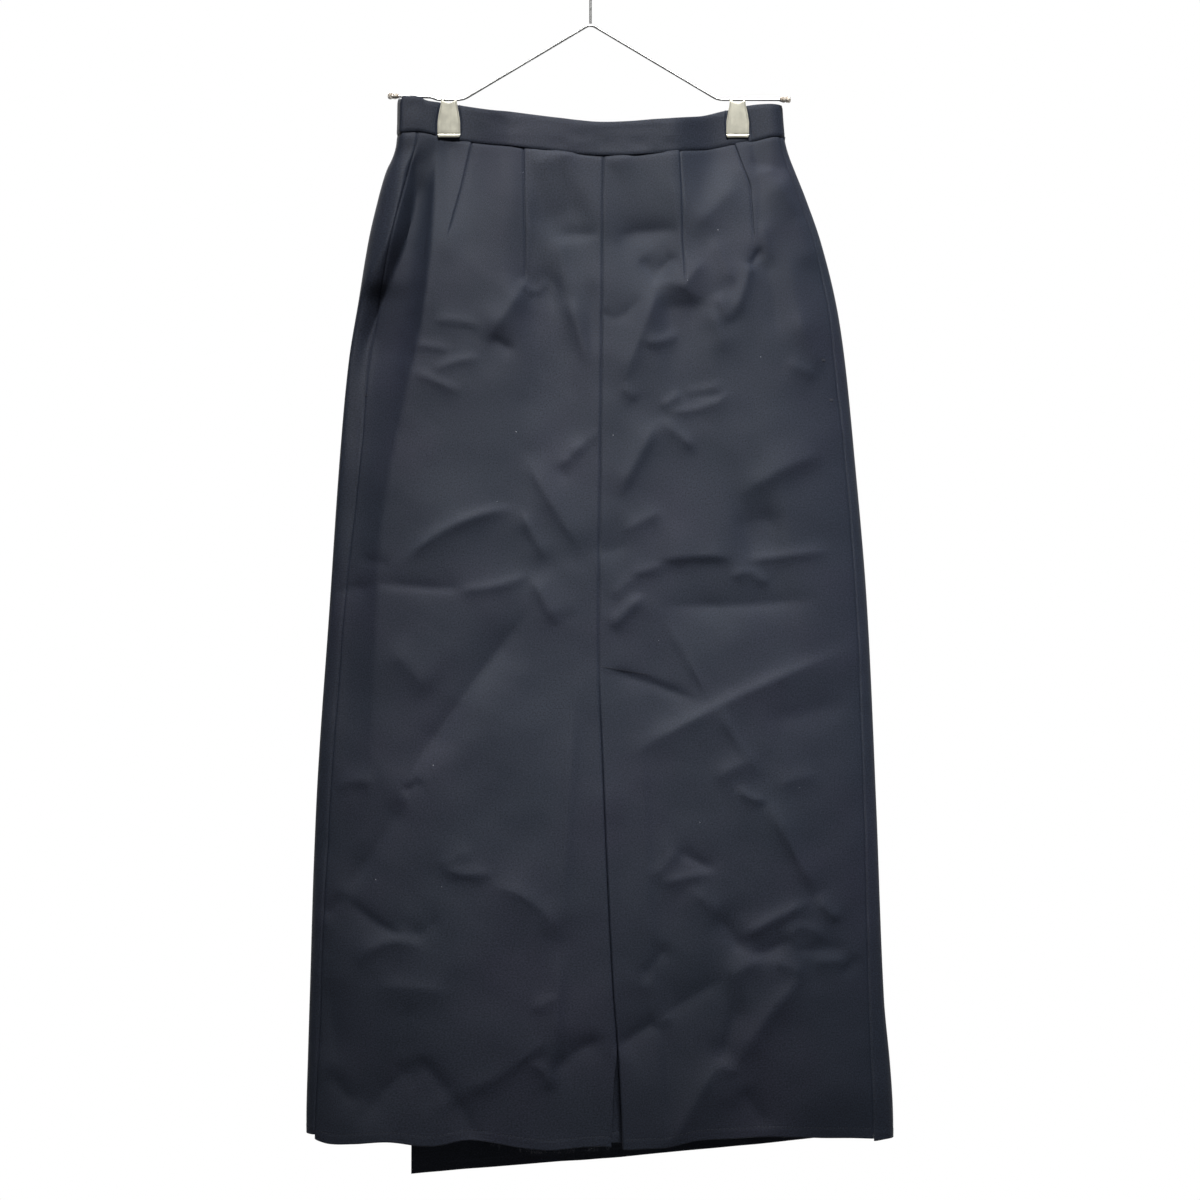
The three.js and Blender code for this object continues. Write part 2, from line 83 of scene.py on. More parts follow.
SECTIONS = table(
    "drop left right fold_left fold_right back front seam_left seam_right",
    (-6, -172.4, 170.5, 12, 8, 30, 3, -154, 169),
    (35, -173.6, 173.7, 12, 8, 30, 4, -154, 169.5),
    (49, -176.8, 177.2, 12, 8, 30, 6, -157, 172),
    (63, -182.9, 182.4, 12, 8, 31, 9, -161, 176.5),
    (89, -190.3, 192.9, 12, 9, 33, 14, -167.5, 185.5),
    (125, -198.5, 205.5, 12, 10, 35, 20, -176.5, 198),
    (178, -207.2, 218.7, 12, 10, 36, 26, -187.5, 210.5),
    (231, -215.9, 227, 12, 11, 37, 29, -197.5, 217),
    (311, -223.5, 235.2, 12, 12, 37, 30, -204.5, 225.5),
    (444, -232.8, 246.6, 12, 12, 36, 31, -218.5, 236),
    (622, -245, 255.1, 12, 12, 34, 31, -232, 243),
    (800, -250.9, 262.2, 12, 12, 32, 30, -241, 247.5),
    (860, -252.7, 267.6, 12, 12, 31, 30, -243.5, 249.5),
    (900, -253.8, 270.1, 12, 12, 30, 30, -245, 251),
    (960, -254.1, 270.7, 12, 12, 30, 30, -246, 252),
)
WAIST = table(
    "x top seam",
    (-171, -2, 29.4),
    (-153, -1.6, 28.6),
    (-146, 2, 29.4),
    (-136, 3.6, 32),
    (-125, 5, 35),
    (-108, 7.5, 37.6),
    (-80, 13, 42.1),
    (-27, 20, 49.2),
    (12, 24, 52.4),
    (62, 21, 49.8),
    (97, 16.8, 45.6),
    (115, 12, 41.8),
    (131, 8.6, 38.8),
    (145, 5.9, 36.6),
    (160, 4.8, 33),
    (172.5, 4.6, 32),
)
CENTRE_BACK = table(
    "drop left right",
    (40, 11.6, 11.6),
    (178, 10.2, 10.2),
    (355, 8.4, 8.4),
    (502, 7.3, 7.3),
    (586, 10.2, 10.6),
    (695, 14.6, 15.2),
    (786, 19.2, 19.9),
    (840, 23.3, 24.2),
    (862, 21.4, 25.4),
    (888, 19.8, 26.8),
    (930, 18.3, 28.4),
)
# The hems: the back's hangs unevenly, the wrap's drops towards its free corner, and the under layer's is
# level.
BACK_HEM = table(
    "x drop",
    (-253, 920), (-245, 923.7), (-232, 926.6), (-209, 925.7), (-180, 923.4), (-150, 926),
    (-134, 925.5), (-112, 920.5), (-95, 921), (-67, 926), (-45, 928.8), (-32, 928.9), (-8, 926.3),
    (8, 925.4), (20, 926.4), (30, 928.2), (45, 927.6), (70, 926), (92, 920.8), (120, 919.2),
    (155, 917.8), (185, 918.7), (205, 920), (235, 921), (262, 923),
)
WRAP_HEM = table(
    "x drop",
    (-162, 962.8), (-32, 953.1), (22, 949.4), (93, 942.4), (164, 934.9), (199, 930), (222, 927.2),
    (262, 923.4),
)
UNDER_HEM = table("x drop", (-262, UNDER_HEM_DROP), (262, UNDER_HEM_DROP))
FREE_EDGES = table("drop wrap under", (28, -163, 8), (300, -162, -2), (600, -161, -18), (960, -162, -38))

# The ridge that hangs from the left clip. Below the waistband the cloth falls away outboard of it, over
# fall and the more steeply at first, and comes out again towards the side seam, over recover.
HOLLOW = table(
    "drop ridge depth fall recover steep",
    (-6, -136, 0, 10, 8, 2),
    (35, -136, 0.6, 10, 8, 2),
    (60, -137, 6, 19, 9, 2),
    (85, -138, 13, 18, 13, 2),
    (125, -140, 17, 24, 15, 2),
    (160, -143.5, 18, 34, 20, 2.6),
    (178, -146, 20, 40, 26, 3),
    (222, -154, 19, 48, 40, 3),
    (266, -164, 14, 46, 50, 2.5),
    (311, -174, 9, 36, 50, 2.2),
    (391, -186, 6.5, 28, 50, 2),
    (470, -190, 5, 26, 50, 2),
    (560, -194, 3.5, 26, 50, 2),
    (680, -200, 0, 26, 50, 2),
)
# A clip's half width at a drop.
CLIP_WIDTHS = table(
    "drop half",
    (-1.5, 6.7), (4, 7.0), (12, 8.6), (20, 9.9), (24, 10), (31, 10), (33.2, 9.6), (34.2, 8.9),
)
# The left end of the waistband is pressed flat on the -Y side of the hanger's wire, which leaves over its
# fold.
PRESSED_END = {"y": -4.4, "front": 1.8, "fold_run": 5.0, "notch": 2.4}
# The exponent of a section's round, and of its squarer quarter where the back of the left hip is pressed.
ROUND_POWER = 2.6
PRESSED_POWER = 6.0


def read(rows, column, at):
    """A smooth curve through a column, read at values of the table's first column."""
    knots = next(iter(rows.values()))
    values = rows[column]
    last = len(knots) - 1
    at = np.clip(at, knots[0], knots[-1])
    i = np.clip(np.searchsorted(knots, at, side="right") - 1, 0, last - 1)
    low = np.maximum(np.arange(last + 1) - 1, 0)
    high = np.minimum(np.arange(last + 1) + 1, last)
    slopes = (values[high] - values[low]) / (knots[high] - knots[low])
    span = knots[i + 1] - knots[i]
    t = (at - knots[i]) / span
    start = values[i] * (1 + 2 * t) * (1 - t) ** 2 + slopes[i] * span * t * (1 - t) ** 2
    return start + values[i + 1] * t * t * (3 - 2 * t) - slopes[i + 1] * span * t * t * (1 - t)


def ease(value, low, high):
    """0 at low, 1 at high, smooth between."""
    t = np.clip((value - low) / (high - low), 0, 1)
    return t * t * (3 - 2 * t)


def mix(a, b, share):
    """a where share is 0, b where it is 1."""
    return a + (b - a) * share


def grip(clip, x, drop):
    """How much a clip holds the cloth flat: 1 between its jaws, 0 well away from it."""
    beside = 1 - ease(np.abs(x - clip["x"]), 11.5, 60)
    return beside * np.exp(-((np.maximum(drop - 40, 0) / 75) ** 1.4))


def fold_share(angle, drop):
    """1 in the middle of the back, 0 at either fold, -1 in the middle of the front."""
    pressed = (np.sin(angle) >= 0) * (np.cos(angle) > 0) * ease(drop, 36, 60) * ease(drop, 230, 150)
    rise = np.sqrt(np.maximum(0, 1 - np.abs(np.cos(angle)) ** mix(ROUND_POWER, PRESSED_POWER, pressed)))
    return np.where(np.sin(angle) >= 0, rise, -rise)


def body(angle, drop):
    """The cloth's smooth outer face. Angle 0 is the left fold, pi / 2 the middle of the back, pi the right
    fold; the front lies beyond pi and below 0."""
    left, right = read(SECTIONS, "left", drop), read(SECTIONS, "right", drop)
    across = -np.cos(angle)
    x = (left + right) / 2 + (right - left) / 2 * across
    fold = mix(read(SECTIONS, "fold_left", drop), read(SECTIONS, "fold_right", drop), (across + 1) / 2)
    share = fold_share(angle, drop)
    is_back = share >= 0
    inner = ease(np.abs(share), 0, 0.55)
    stand = np.where(is_back, read(SECTIONS, "back", drop), read(SECTIONS, "front", drop))
    y = fold - stand * share
    for clip in CLIPS:
        face = np.where(is_back, clip["back_face"], clip["base_front"])
        y = mix(y, face, grip(clip, x, drop) * inner)
    outboard = np.maximum(0, read(HOLLOW, "ridge", drop) - x)
    fall = read(HOLLOW, "fall", drop)
    down = 1 - (1 - np.minimum(outboard / fall, 1)) ** read(HOLLOW, "steep", drop)
    out_again = np.clip((outboard - fall) / read(HOLLOW, "recover", drop), 0, 1)
    y = y + read(HOLLOW, "depth", drop) * down * (1 - out_again) ** 1.3 * inner
    end = ease(drop, 62, 34) * ease(x, left, left + PRESSED_END["fold_run"])
    pressed = mix(y, PRESSED_END["y"], end * ease(x, -134, -142))
    y = np.where(is_back, pressed, y + PRESSED_END["front"] * end * ease(x, -140, -148))
    return np.stack([x, y, ARM_LEVEL - drop], -1)


def angle_at(x, drop, side):
    """The angle at which the back, or the front reached past the right or left fold, passes x."""
    left, right = read(SECTIONS, "left", drop), read(SECTIONS, "right", drop)
    angle = np.arccos(np.clip(-(2 * x - left - right) / (right - left), -1, 1))
    return {"back": angle, "front_from_right": 2 * math.pi - angle, "front_from_left": -angle}[side]


def unit(vectors):
    """The vectors at length 1."""
    return vectors / np.maximum(np.linalg.norm(vectors, axis=-1, keepdims=True), 1e-12)


def outward(angle, drop):
    """The direction out of the cloth's smooth face."""
    along = body(angle + 0.01, drop) - body(angle - 0.01, drop)
    down = body(angle, drop + 1) - body(angle, drop - 1)
    return unit(np.cross(down, along))


def raised(angle, drop, height):
    """Points that stand a height off the cloth's smooth face."""
    return body(angle, drop) + outward(angle, drop) * height[..., None]


def arc_lengths(points):
    """How far along a line of points each one lies."""
    return np.r_[0, np.cumsum(np.linalg.norm(np.diff(points, axis=0), axis=-1))]


# ---- Creases ----
# Each crease is a line from (x0, d0) to (x1, d1), left to right or straight down, bowed by bend. It stands
# out by rise, or sinks where rise is negative. over is how far it spreads on its upper or right side, under
# on the other side, and sharp is the radius of its crest.
CREASE_COLUMNS = "x0 d0 x1 d1 bend over under rise sharp"

BACK_CREASES = table(
    CREASE_COLUMNS,
    # Swells between the darts, under the waistband.
    (-52, 60, -14, 50, 0, 10, 16, 2.6, 3),
    (-40, 112, -8, 98, 0, 26, 60, -3.8, 5),
    (20, 60, 34, 52, 0, 10, 12, 1.6, 3),
    (26, 130, 56, 124, 0, 44, 50, -4.2, 4),
    (-60, 172, -30, 166, 0, 26, 60, -5.4, 2),
    (-106, 175, -84, 50, 0, 26, 26, 2.6, 12),
    (90, 116, 128, 78, 0, 24, 16, 4.4, 5),
    (64, 188, 96, 186, 0, 20, 50, -4.4, 2),
    (150, 120, 168, 230, 2, 12, 10, -1.8, 3),
    (110, 62, 178, 80, 0, 18, 52, 3.6, 4),
    (-132, 41, -114, 42, 0, 6, 24, -1.1, 1),
    (172, 130, 190, 232, 2, 10, 8, 1.4, 3),
    (-32, 124, 8, 122, 0, 7, 5, -1.6, 1.5),
    (24, 124, 78, 119, 2, 8, 8, -2, 2),
    (140, 58, 178, 62, 0, 8, 8, -1.8, 3),
    (148, 68, 164, 64, 0, 4, 5, 1.4, 0.8),
    (162, 72, 184, 104, 0, 8, 14, 2.4, 2),
    (178, 100, 196, 150, 3, 9, 14, 1.8, 3),
    # Left panel: the creases under the darts.
    (-62, 166, -50, 175, 0, 5, 4, 1.8, 0.8),
    (-50, 175, -36, 164, 0, 5, 4, 1.8, 0.8),
    (-89, 213, -57, 168, 0, 16, 14, 3.6, 0.8),
    (-88, 213, -66, 226, 0, 3, 8, -1.6, 0.8),
    (-140, 198, -98, 203, 2, 4, 4, 1.3, 0.6),
    (-158, 219, -122, 224, 0, 4, 3, 1.2, 0.6),
    (-140, 242, -96, 231, 2, 4, 6, 1.6, 0.6),
    (-158, 241, -112, 263, 0, 4, 6, 1.6, 0.8),
    (-28, 118, -22, 180, 0, 7, 6, 1.8, 1),
    (-24, 176, -2, 240, 3, 7, 6, 2.2, 1),
    (2, 160, 0, 244, 0, 4, 6, -1.2, 1),
    (-27, 328, -4, 306, 0, 5, 4, 1.5, 0.6),
    (-30, 328, -18, 340, 0, 4, 5, -0.8, 1),
    (-20, 316, 9, 296, 0, 6, 4, 1, 0.8),
    (-58, 318, -3, 406, -2, 20, 6, 2.6, 0.8),
    # Left panel: two bowed folds across the hip, and the long diagonal that falls from them.
    (-172, 418, -59, 363, 13, 5, 9, 3, 0.8),
    (-200, 428, -105, 434, -2, 7, 4, -1.5, 0.8),
    (-120, 436, -48, 420, -4, 4, 6, 1.8, 0.8),
    (-62, 366, -38, 410, 0, 6, 7, 2.2, 0.8),
    (-52, 424, -30, 466, 0, 14, 6, 2.6, 0.8),
    (-168, 612, -50, 450, 3, 30, 14, -5.2, 0.6),
    (-219, 706, -158, 616, 0, 22, 16, -4.2, 0.8),
    (-167, 614, -148, 604, 0, 3, 7, -1.8, 0.8),
    (-178, 486, -140, 524, 0, 18, 10, 2.2, 4),
    (-206, 408, -178, 413, 0, 4, 4, -0.9, 1),
    (-236, 437, -190, 432, 0, 5, 7, -1.1, 1),
    (-226, 612, -192, 606, 4, 7, 5, 1.6, 1.5),
    # Left panel, low down.
    (-219, 705, -160, 743, -5, 7, 18, -3, 0.6),
    (-160, 743, -134, 722, -3, 6, 9, -1.6, 1),
    (-237, 725, -218, 706, 0, 6, 8, -1.6, 1),
    (-132, 681, -86, 685, -3, 9, 5, 2.2, 0.8),
    (-134, 680, -106, 664, 0, 7, 6, 1, 1),
    (-207, 766, -154, 747, 9, 9, 9, 2.8, 2),
    (-86, 696, -26, 742, 10, 11, 14, 2.8, 1.2),
    (-52, 806, -28, 792, 0, 5, 7, 1.6, 0.8),
    (-192, 786, -120, 792, 2, 8, 16, 2, 2),
    (-160, 800, -170, 850, 0, 10, 10, -1.6, 3),
    (-118, 884, -32, 826, -4, 13, 5, 1.9, 0.8),
    (-152, 848, -122, 884, 0, 8, 20, -3.2, 0.6),
    (-123, 881, -98, 926, 2, 9, 18, -2.6, 0.8),
    (-205, 906, -150, 850, 3, 16, 14, -3, 1.5),
    (-234, 780, -224, 860, 0, 14, 9, -2, 3),
    (-232, 862, -206, 892, -3, 7, 10, -1.8, 1.2),
    (-34, 866, 14, 830, 6, 10, 16, -3, 0.8),
    (-52, 852, -34, 876, 4, 8, 5, 2, 0.8),
    (-13, 520, -26, 745, 0, 5, 8, 2, 0.8),
    (-26, 745, -37, 880, 2, 4, 7, 2.4, 0.6),
    # Right panel: the creases under the darts.
    (45, 144, 60, 166, 0, 6, 4, -2.2, 0.6),
    (57, 158, 76, 141, 0, 6, 4, -2, 0.6),
    (27, 258, 62, 164, 0, 14, 12, 4, 0.6),
    (62, 164, 96, 182, 4, 10, 14, 2.2, 2),
    (10, 190, 24, 200, 0, 3, 4, -1, 0.8),
    (24, 200, 44, 178, 0, 3, 5, -1.1, 0.8),
    (46, 217, 78, 209, -4, 5, 5, 2, 0.8),
    (28, 257, 40, 268, 0, 5, 5, 1.4, 0.8),
    (62, 276, 80, 262, 0, 4, 6, 1.6, 0.6),
    (80, 262, 118, 254, -2, 4, 5, 1.3, 0.8),
    (66, 279, 126, 262, -5, 4, 6, 1.5, 1),
    (84, 263, 116, 266, 0, 5, 3, -0.7, 1),
    (80, 172, 98, 146, 0, 6, 6, 1.8, 0.8),
    (110, 176, 124, 200, 0, 6, 6, 2, 0.8),
    (104, 188, 120, 226, 0, 7, 7, 1.6, 1),
    (125, 196, 142, 140, -2, 7, 6, 2.8, 0.6),
    (138, 152, 152, 134, 0, 3, 5, -2.2, 0.5),
    (108, 127, 125, 166, 0, 8, 9, 2, 1),
    (152, 110, 158, 150, 0, 5, 7, 1.4, 1),
    (181, 193, 204, 240, 0, 9, 9, 1.6, 2),
    (174, 236, 200, 246, 0, 8, 9, 1.8, 2),
    (24, 354, 60, 286, 0, 16, 7, 3.6, 0.6),
    (62, 286, 92, 312, 0, 8, 8, 2.4, 1),
    (30, 384, 62, 366, 0, 9, 8, 2, 1),
    (128, 354, 212, 312, 4, 26, 12, 3.6, 3),
    # Right panel: the pinched shelf at the hip and the level fold under it.
    (58, 411, 128, 408, 3, 30, 4, 2.8, 0.8),
    (34, 422, 64, 415, 0, 6, 6, 1.8, 0.8),
    (132, 380, 164, 374, 2, 20, 70, -4.2, 4),
    (128, 411, 216, 400, 0, 5, 6, 1.8, 0.8),
    (127, 425, 138, 416, 0, 4, 4, 1.6, 0.6),
    (138, 416, 156, 431, 0, 4, 5, 1.8, 0.6),
    (60, 449, 200, 443, -3, 26, 16, -3.8, 1),
    (18, 470, 48, 440, 2, 5, 6, 2.6, 0.8),
    (38, 424, 20, 442, 0, 6, 6, 1.2, 1),
    (8, 404, 34, 396, 0, 8, 8, -1.2, 2),
    # Right panel: the long light ridge that climbs to the side, and the straight line that crosses it.
    (24, 588, 235, 487, 7, 7, 30, 3.6, 2),
    (36, 572, 110, 540, 0, 14, 12, 0.8, 4),
    (150, 552, 226, 538, 0, 12, 16, -1.6, 5),
    (9, 505, 96, 535, 3, 2.2, 10, -1.8, 0.6),
    (62, 456, 108, 536, 0, 5, 4, 1.3, 0.6),
    (108, 536, 152, 604, 0, 7, 5, 2, 0.6),
    # Right panel, low down: the hooked kink and the folds under it.
    (130, 609, 154, 622, -3, 4, 5, 2.2, 0.6),
    (112, 602, 140, 588, 3, 8, 14, 2, 1.5),
    (154, 620, 202, 708, 0, 16, 7, 3.6, 0.6),
    (164, 610, 200, 600, 3, 8, 12, 1.6, 2),
    (200, 706, 221, 728, -2, 8, 5, 2.2, 0.8),
    (130, 745, 197, 710, 2, 7, 10, 3.6, 1.2),
    (112, 716, 138, 756, -3, 10, 9, -2.8, 0.8),
    (138, 757, 176, 744, -3, 8, 11, -2.4, 1),
    (172, 744, 193, 731, 3, 4, 5, 1.1, 0.8),
    (193, 731, 206, 744, 0, 4, 5, 1.1, 0.8),
    (178, 754, 230, 752, 0, 6, 6, -1.4, 1),
    (196, 764, 228, 764, 0, 5, 6, 1.5, 0.8),
    (221, 778, 239, 761, 0, 3, 5, -1.2, 0.6),
    (120, 782, 157, 763, 5, 9, 12, 2.2, 1.5),
    (157, 763, 190, 776, 2, 9, 12, 2, 1.5),
    (128, 860, 190, 776, 6, 9, 16, 3.6, 1),
    (114, 856, 134, 796, 0, 8, 9, -2.8, 1.5),
    (54, 690, 80, 662, 0, 7, 7, 1.4, 0.8),
    (74, 664, 110, 683, 0, 6, 6, -2, 0.6),
    (61, 694, 108, 684, 0, 6, 7, 1.8, 0.8),
    (88, 700, 120, 730, 2, 10, 12, 2.2, 1.5),
    (44, 780, 68, 748, 0, 9, 8, -2, 1.2),
    (22, 838, 64, 812, 0, 12, 18, -3.8, 0.6),
    (57, 819, 71, 811, 0, 3, 3, 1.2, 0.5),
    (62, 813, 124, 776, 2, 14, 18, -2.6, 1.5),
    (66, 932, 114, 850, 0, 16, 20, 4.4, 0.8),
    (133, 876, 158, 912, 0, 8, 10, -2.6, 1.2),
    (112, 852, 130, 862, 0, 5, 7, 1.6, 0.8),
    (150, 905, 250, 870, 3, 24, 20, 1.6, 8),
)

FRONT_CREASES = table(
    CREASE_COLUMNS,
    (-60, 60, -56, 150, 0, 20, 18, -2.2, 8),
    (60, 60, 64, 150, 0, 20, 18, -2.2, 8),
    (-10, 70, 4, 190, 0, 26, 24, 1.8, 10),
    (-140, 150, -60, 190, 4, 12, 8, 2, 1.2),
    (-120, 230, -50, 205, -4, 10, 14, -1.8, 1),
    (90, 190, 170, 160, 6, 12, 9, 2.2, 1.2),
    (70, 250, 150, 262, -4, 14, 8, 2, 1.2),
    (-40, 270, 30, 330, 0, 18, 9, 2.4, 1),
    (-190, 330, -110, 380, 4, 14, 10, 2.2, 1.4),
    (90, 400, 200, 380, -6, 18, 8, 3.2, 1),
    (60, 420, 180, 450, 4, 10, 22, -2.6, 1),
    (-70, 430, 20, 400, 8, 14, 9, 2.6, 1.2),
    (-150, 440, -60, 470, -5, 10, 20, -2.2, 1.2),
    (-120, 600, 60, 500, 6, 16, 18, 3.2, 1.8),
    (90, 560, 210, 640, 0, 20, 10, 2.8, 1),
    (-150, 560, -110, 640, 0, 9, 12, -1.8, 1.2),
    (20, 610, 110, 700, -4, 10, 18, -2.2, 1),
    (-60, 700, 40, 650, 4, 12, 12, 2.4, 1.4),
    (-150, 760, -60, 700, 0, 10, 22, -2.4, 1),
    (120, 720, 210, 690, 3, 12, 9, 2.6, 1.2),
    (60, 800, 150, 760, 3, 11, 16, -2.2, 1.2),
    (-100, 800, 0, 850, 0, 15, 10, 2.4, 1.4),
    (150, 800, 220, 870, 0, 12, 16, -2, 1.5),
    (-140, 900, -40, 860, 4, 9, 18, -2.2, 1),
    (40, 920, 90, 850, 0, 16, 24, 2.4, 1.6),
)


def crease_height(creases, x, drop):
    """The summed height of every crease at a place."""
    height = np.zeros_like(x)
    for x0, d0, x1, d1, bend, over, under, rise, sharp in zip(*creases.values()):
        run, fall = x1 - x0, d1 - d0
        length = math.hypot(run, fall)
        reach = 6 * max(over, under) + abs(bend) + length / 2
        near = np.hypot(x - (x0 + x1) / 2, drop - (d0 + d1) / 2) < reach
        px, pd = x[near] - x0, drop[near] - d0
        along = (px * run + pd * fall) / length**2
        aside = (px * fall - pd * run) / length
        clamped = np.clip(along, 0, 1)
        off = aside - 4 * bend * clamped * (1 - clamped)
        width = np.where(off > 0, over, under)
        crest = np.exp(-(np.sqrt(off**2 + sharp**2) - sharp) / width)
        soft = 0.6 * min(over, under)
        ends = ease(along * length, -soft, 0.3 * length) * ease((1 - along) * length, -soft, 0.3 * length)
        height[near] += rise * crest * ends
    return height


def noise(x, drop, cell, seed):
    """Smooth random height between -1 and 1, on a lattice of that cell."""
    lattice = np.random.default_rng(seed).uniform(-1, 1, (64, 64))
    u, v = x / cell, drop / cell
    i, j = np.floor(u).astype(int), np.floor(v).astype(int)
    s, t = ease(u - i, 0, 1), ease(v - j, 0, 1)
    row = [mix(lattice[i % 64, (j + k) % 64], lattice[(i + 1) % 64, (j + k) % 64], s) for k in (0, 1)]
    return mix(row[0], row[1], t)


BACK_SEED, FRONT_SEED = 11, 23


def rumple(x, drop, seed):
    """The low unevenness of worn cloth."""
    turned = 0.8 * x + 0.6 * drop, 0.8 * drop - 0.6 * x
    broad = noise(turned[0], turned[1], 62, seed) + 0.5 * noise(x + 0.4 * drop, drop, 33, seed + 1)
    fine = noise(x - 0.5 * drop, drop, 15, seed + 3)
    return 1.1 * broad + 0.16 * fine


# ---- Seams and darts ----

# Each dart's line, and the side its folded cloth is pressed to.
DARTS = (
    {"line": table("drop x", (44, -59), (100, -58), (160, -57)), "pressed": 1},
    {"line": table("drop x", (37, -105), (80, -114), (122, -125)), "pressed": -1},
    {"line": table("drop x", (46, 79), (100, 81), (163, 83)), "pressed": -1},
    {"line": table("drop x", (38, 127), (78, 141), (126, 144)), "pressed": 1},
)


def groove(offset, width, depth):
    """A round-bottomed groove along a line."""
    return -depth * np.exp(-((offset / width) ** 2))


def dart_line(dart, lean=0.0):
    """A dart's x as a function of drop, carried on down the panel at a lean."""
    drops, places = dart["line"].values()
    return lambda drop: np.interp(drop, drops, places) + lean * np.maximum(drop - drops[-1], 0)


def dart_relief(x, drop):
    """A dart is a sewn line with its folded cloth pressed to one side beneath."""
    height = np.zeros_like(x)
    for dart in DARTS:
        top, tip = dart["line"]["drop"][[0, -1]]
        offset = x - dart_line(dart)(drop)
        share = (drop - top) / (tip - top)
        shown = ease(share, 1.06, 0.92)
        fold_width = 13 * np.clip(1 - share, 0, 1)
        aside = offset * dart["pressed"]
        bulk = 0.5 * ease(aside, -0.4, 1.2) * ease(aside, fold_width + 2.5, fold_width)
        height += (groove(offset, 0.9, 0.7) + bulk) * shown
        height += 1.6 * np.exp(-((offset / 14) ** 2) - (((share - 1.08) * 80 / 16) ** 2))
    return height


def back_seams(x, drop):
    """Centre back seam, side seams and the vent's edges."""
    centre = x - read(CENTRE_BACK, "left", drop)
    sewn = ease(drop, VENT_TOP_DROP + 6, VENT_TOP_DROP - 2)
    allowance = 0.1 * ease(np.abs(centre), 14.5, 12) * ease(np.abs(centre), 0.3, 2)
    height = (groove(centre, 1.0, 0.7) + allowance) * sewn
    height += 0.12 * np.sin(drop / 7.3 + 1.4 * np.sin(drop / 31)) * np.exp(-((centre / 9) ** 2)) * sewn
    proud = x - read(CENTRE_BACK, "right", drop)
    vent = 1 - sewn
    lap = ease(proud, -0.5, 1.0) * ease(proud, 44, 34)
    height += 1.3 * lap * vent * ease(drop, VENT_TOP_DROP, VENT_TOP_DROP + 60)
    height += groove(proud, 1.0, 0.7) * vent
    for column, side in (("seam_left", -1), ("seam_right", 1)):
        off = x - read(SECTIONS, column, drop)
        height += groove(off, 1.0, 0.65)
        height += 0.12 * ease(off * side, 8, 6) * ease(off * side, 0.3, 1.6)
    return height


def edge_relief(x, drop, hem):
    """Tucked under the waistband at the top; turned up and stitched at the hem."""
    below = drop - read(WAIST, "seam", x)
    above = hem - drop
    tuck = -0.9 * np.exp(-((below / 2.4) ** 2)) - 0.5 * np.exp(-((below / 26) ** 2))
    turned = 0.2 * ease(above, 10.6, 8.2)
    ripple = 0.35 * np.sin(x / 9.0 + 1.7 * np.sin(x / 23.0)) * np.exp(-((above / 9) ** 2))
    return tuck + turned + groove(above - HEM_STITCH, 0.8, 0.2) + ripple


def back_hem(x):
    """The drop of the back's hem."""
    return read(BACK_HEM, "drop", x)


def relief(angle, x, drop, hem):
    """Everything that stands off the smooth form. The cloth is calmer under the waistband."""
    share = fold_share(angle, drop)
    back = ease(share, 0, 0.34)
    calm = 1 - 0.65 * ease(drop, 130, 45)
    height = np.zeros_like(x)
    for side, creases, seed in ((share, BACK_CREASES, BACK_SEED), (-share, FRONT_CREASES, FRONT_SEED)):
        height += ease(side, 0, 0.34) * (crease_height(creases, x, drop) + rumple(x, drop, seed) * calm)
    height += (share > 0) * (back_seams(x, drop) + dart_relief(x, drop) * back)
    return height + edge_relief(x, drop, hem)


# ---- Pieces ----


def linked(name, data):
    """A new object in the scene."""
    item = bpy.data.objects.new(name, data)
    bpy.context.scene.collection.objects.link(item)
    return item


def place(piece, node=None):
    """Rides a piece on the body, in place of the CAD node it stands for, if there is one."""
    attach(piece, "root")
    if node:
        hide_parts(node)


def quads(index):
    """The faces between the neighbours in a grid of vertex numbers."""
    return np.stack([index[:-1, :-1], index[1:, :-1], index[1:, 1:], index[:-1, 1:]], -1).reshape(-1, 4)


def new_mesh(name, points, faces, material):
    """A smooth-shaded mesh of points in millimetres."""
    mesh = bpy.data.meshes.new(name)
    mesh.from_pydata((np.array(points, float) * MM).tolist(), [], faces)
    mesh.validate()
    mesh.shade_smooth()
    mesh.materials.append(material)
    return mesh


def tubes(name, paths, radius, material, resolution, caps=False):
    """Wires or threads along paths of points in millimetres, as one curve object."""
    curve = bpy.data.curves.new(name, "CURVE")
    curve.dimensions = "3D"
    curve.bevel_depth = radius * MM
    curve.bevel_resolution = resolution
    curve.use_fill_caps = caps
    for path in paths:
        spline = curve.splines.new("POLY")
        spline.points.add(len(path) - 1)
        for point, place_mm in zip(spline.points, path):
            point.co = (*[c * MM for c in place_mm], 1)
    curve.materials.append(material)
    return linked(name, curve)


# ---- Cloth meshes ----


def spread(length, step, first=(), last=()):
    """Places from 0 to 1 along a length, a step apart, with closer ones given from each end."""
    low, high = (first[-1] if first else 0), length - (last[-1] if last else 0)
    even = np.linspace(low, high, max(2, round((high - low) / step) + 1))
    places = [*first[:-1], *even, *(length - p for p in reversed(last[:-1]))]
    return np.array(places) / length


SEAM_STEPS = (0, 0.5, 1.1, 1.9, 3.0, 4.6)
HEM_STEPS = (0, 0.6, 1.4, 2.6, 4.2, 6.0, 7.2, 7.9, 8.6, 9.3, 10.1, 11.6)


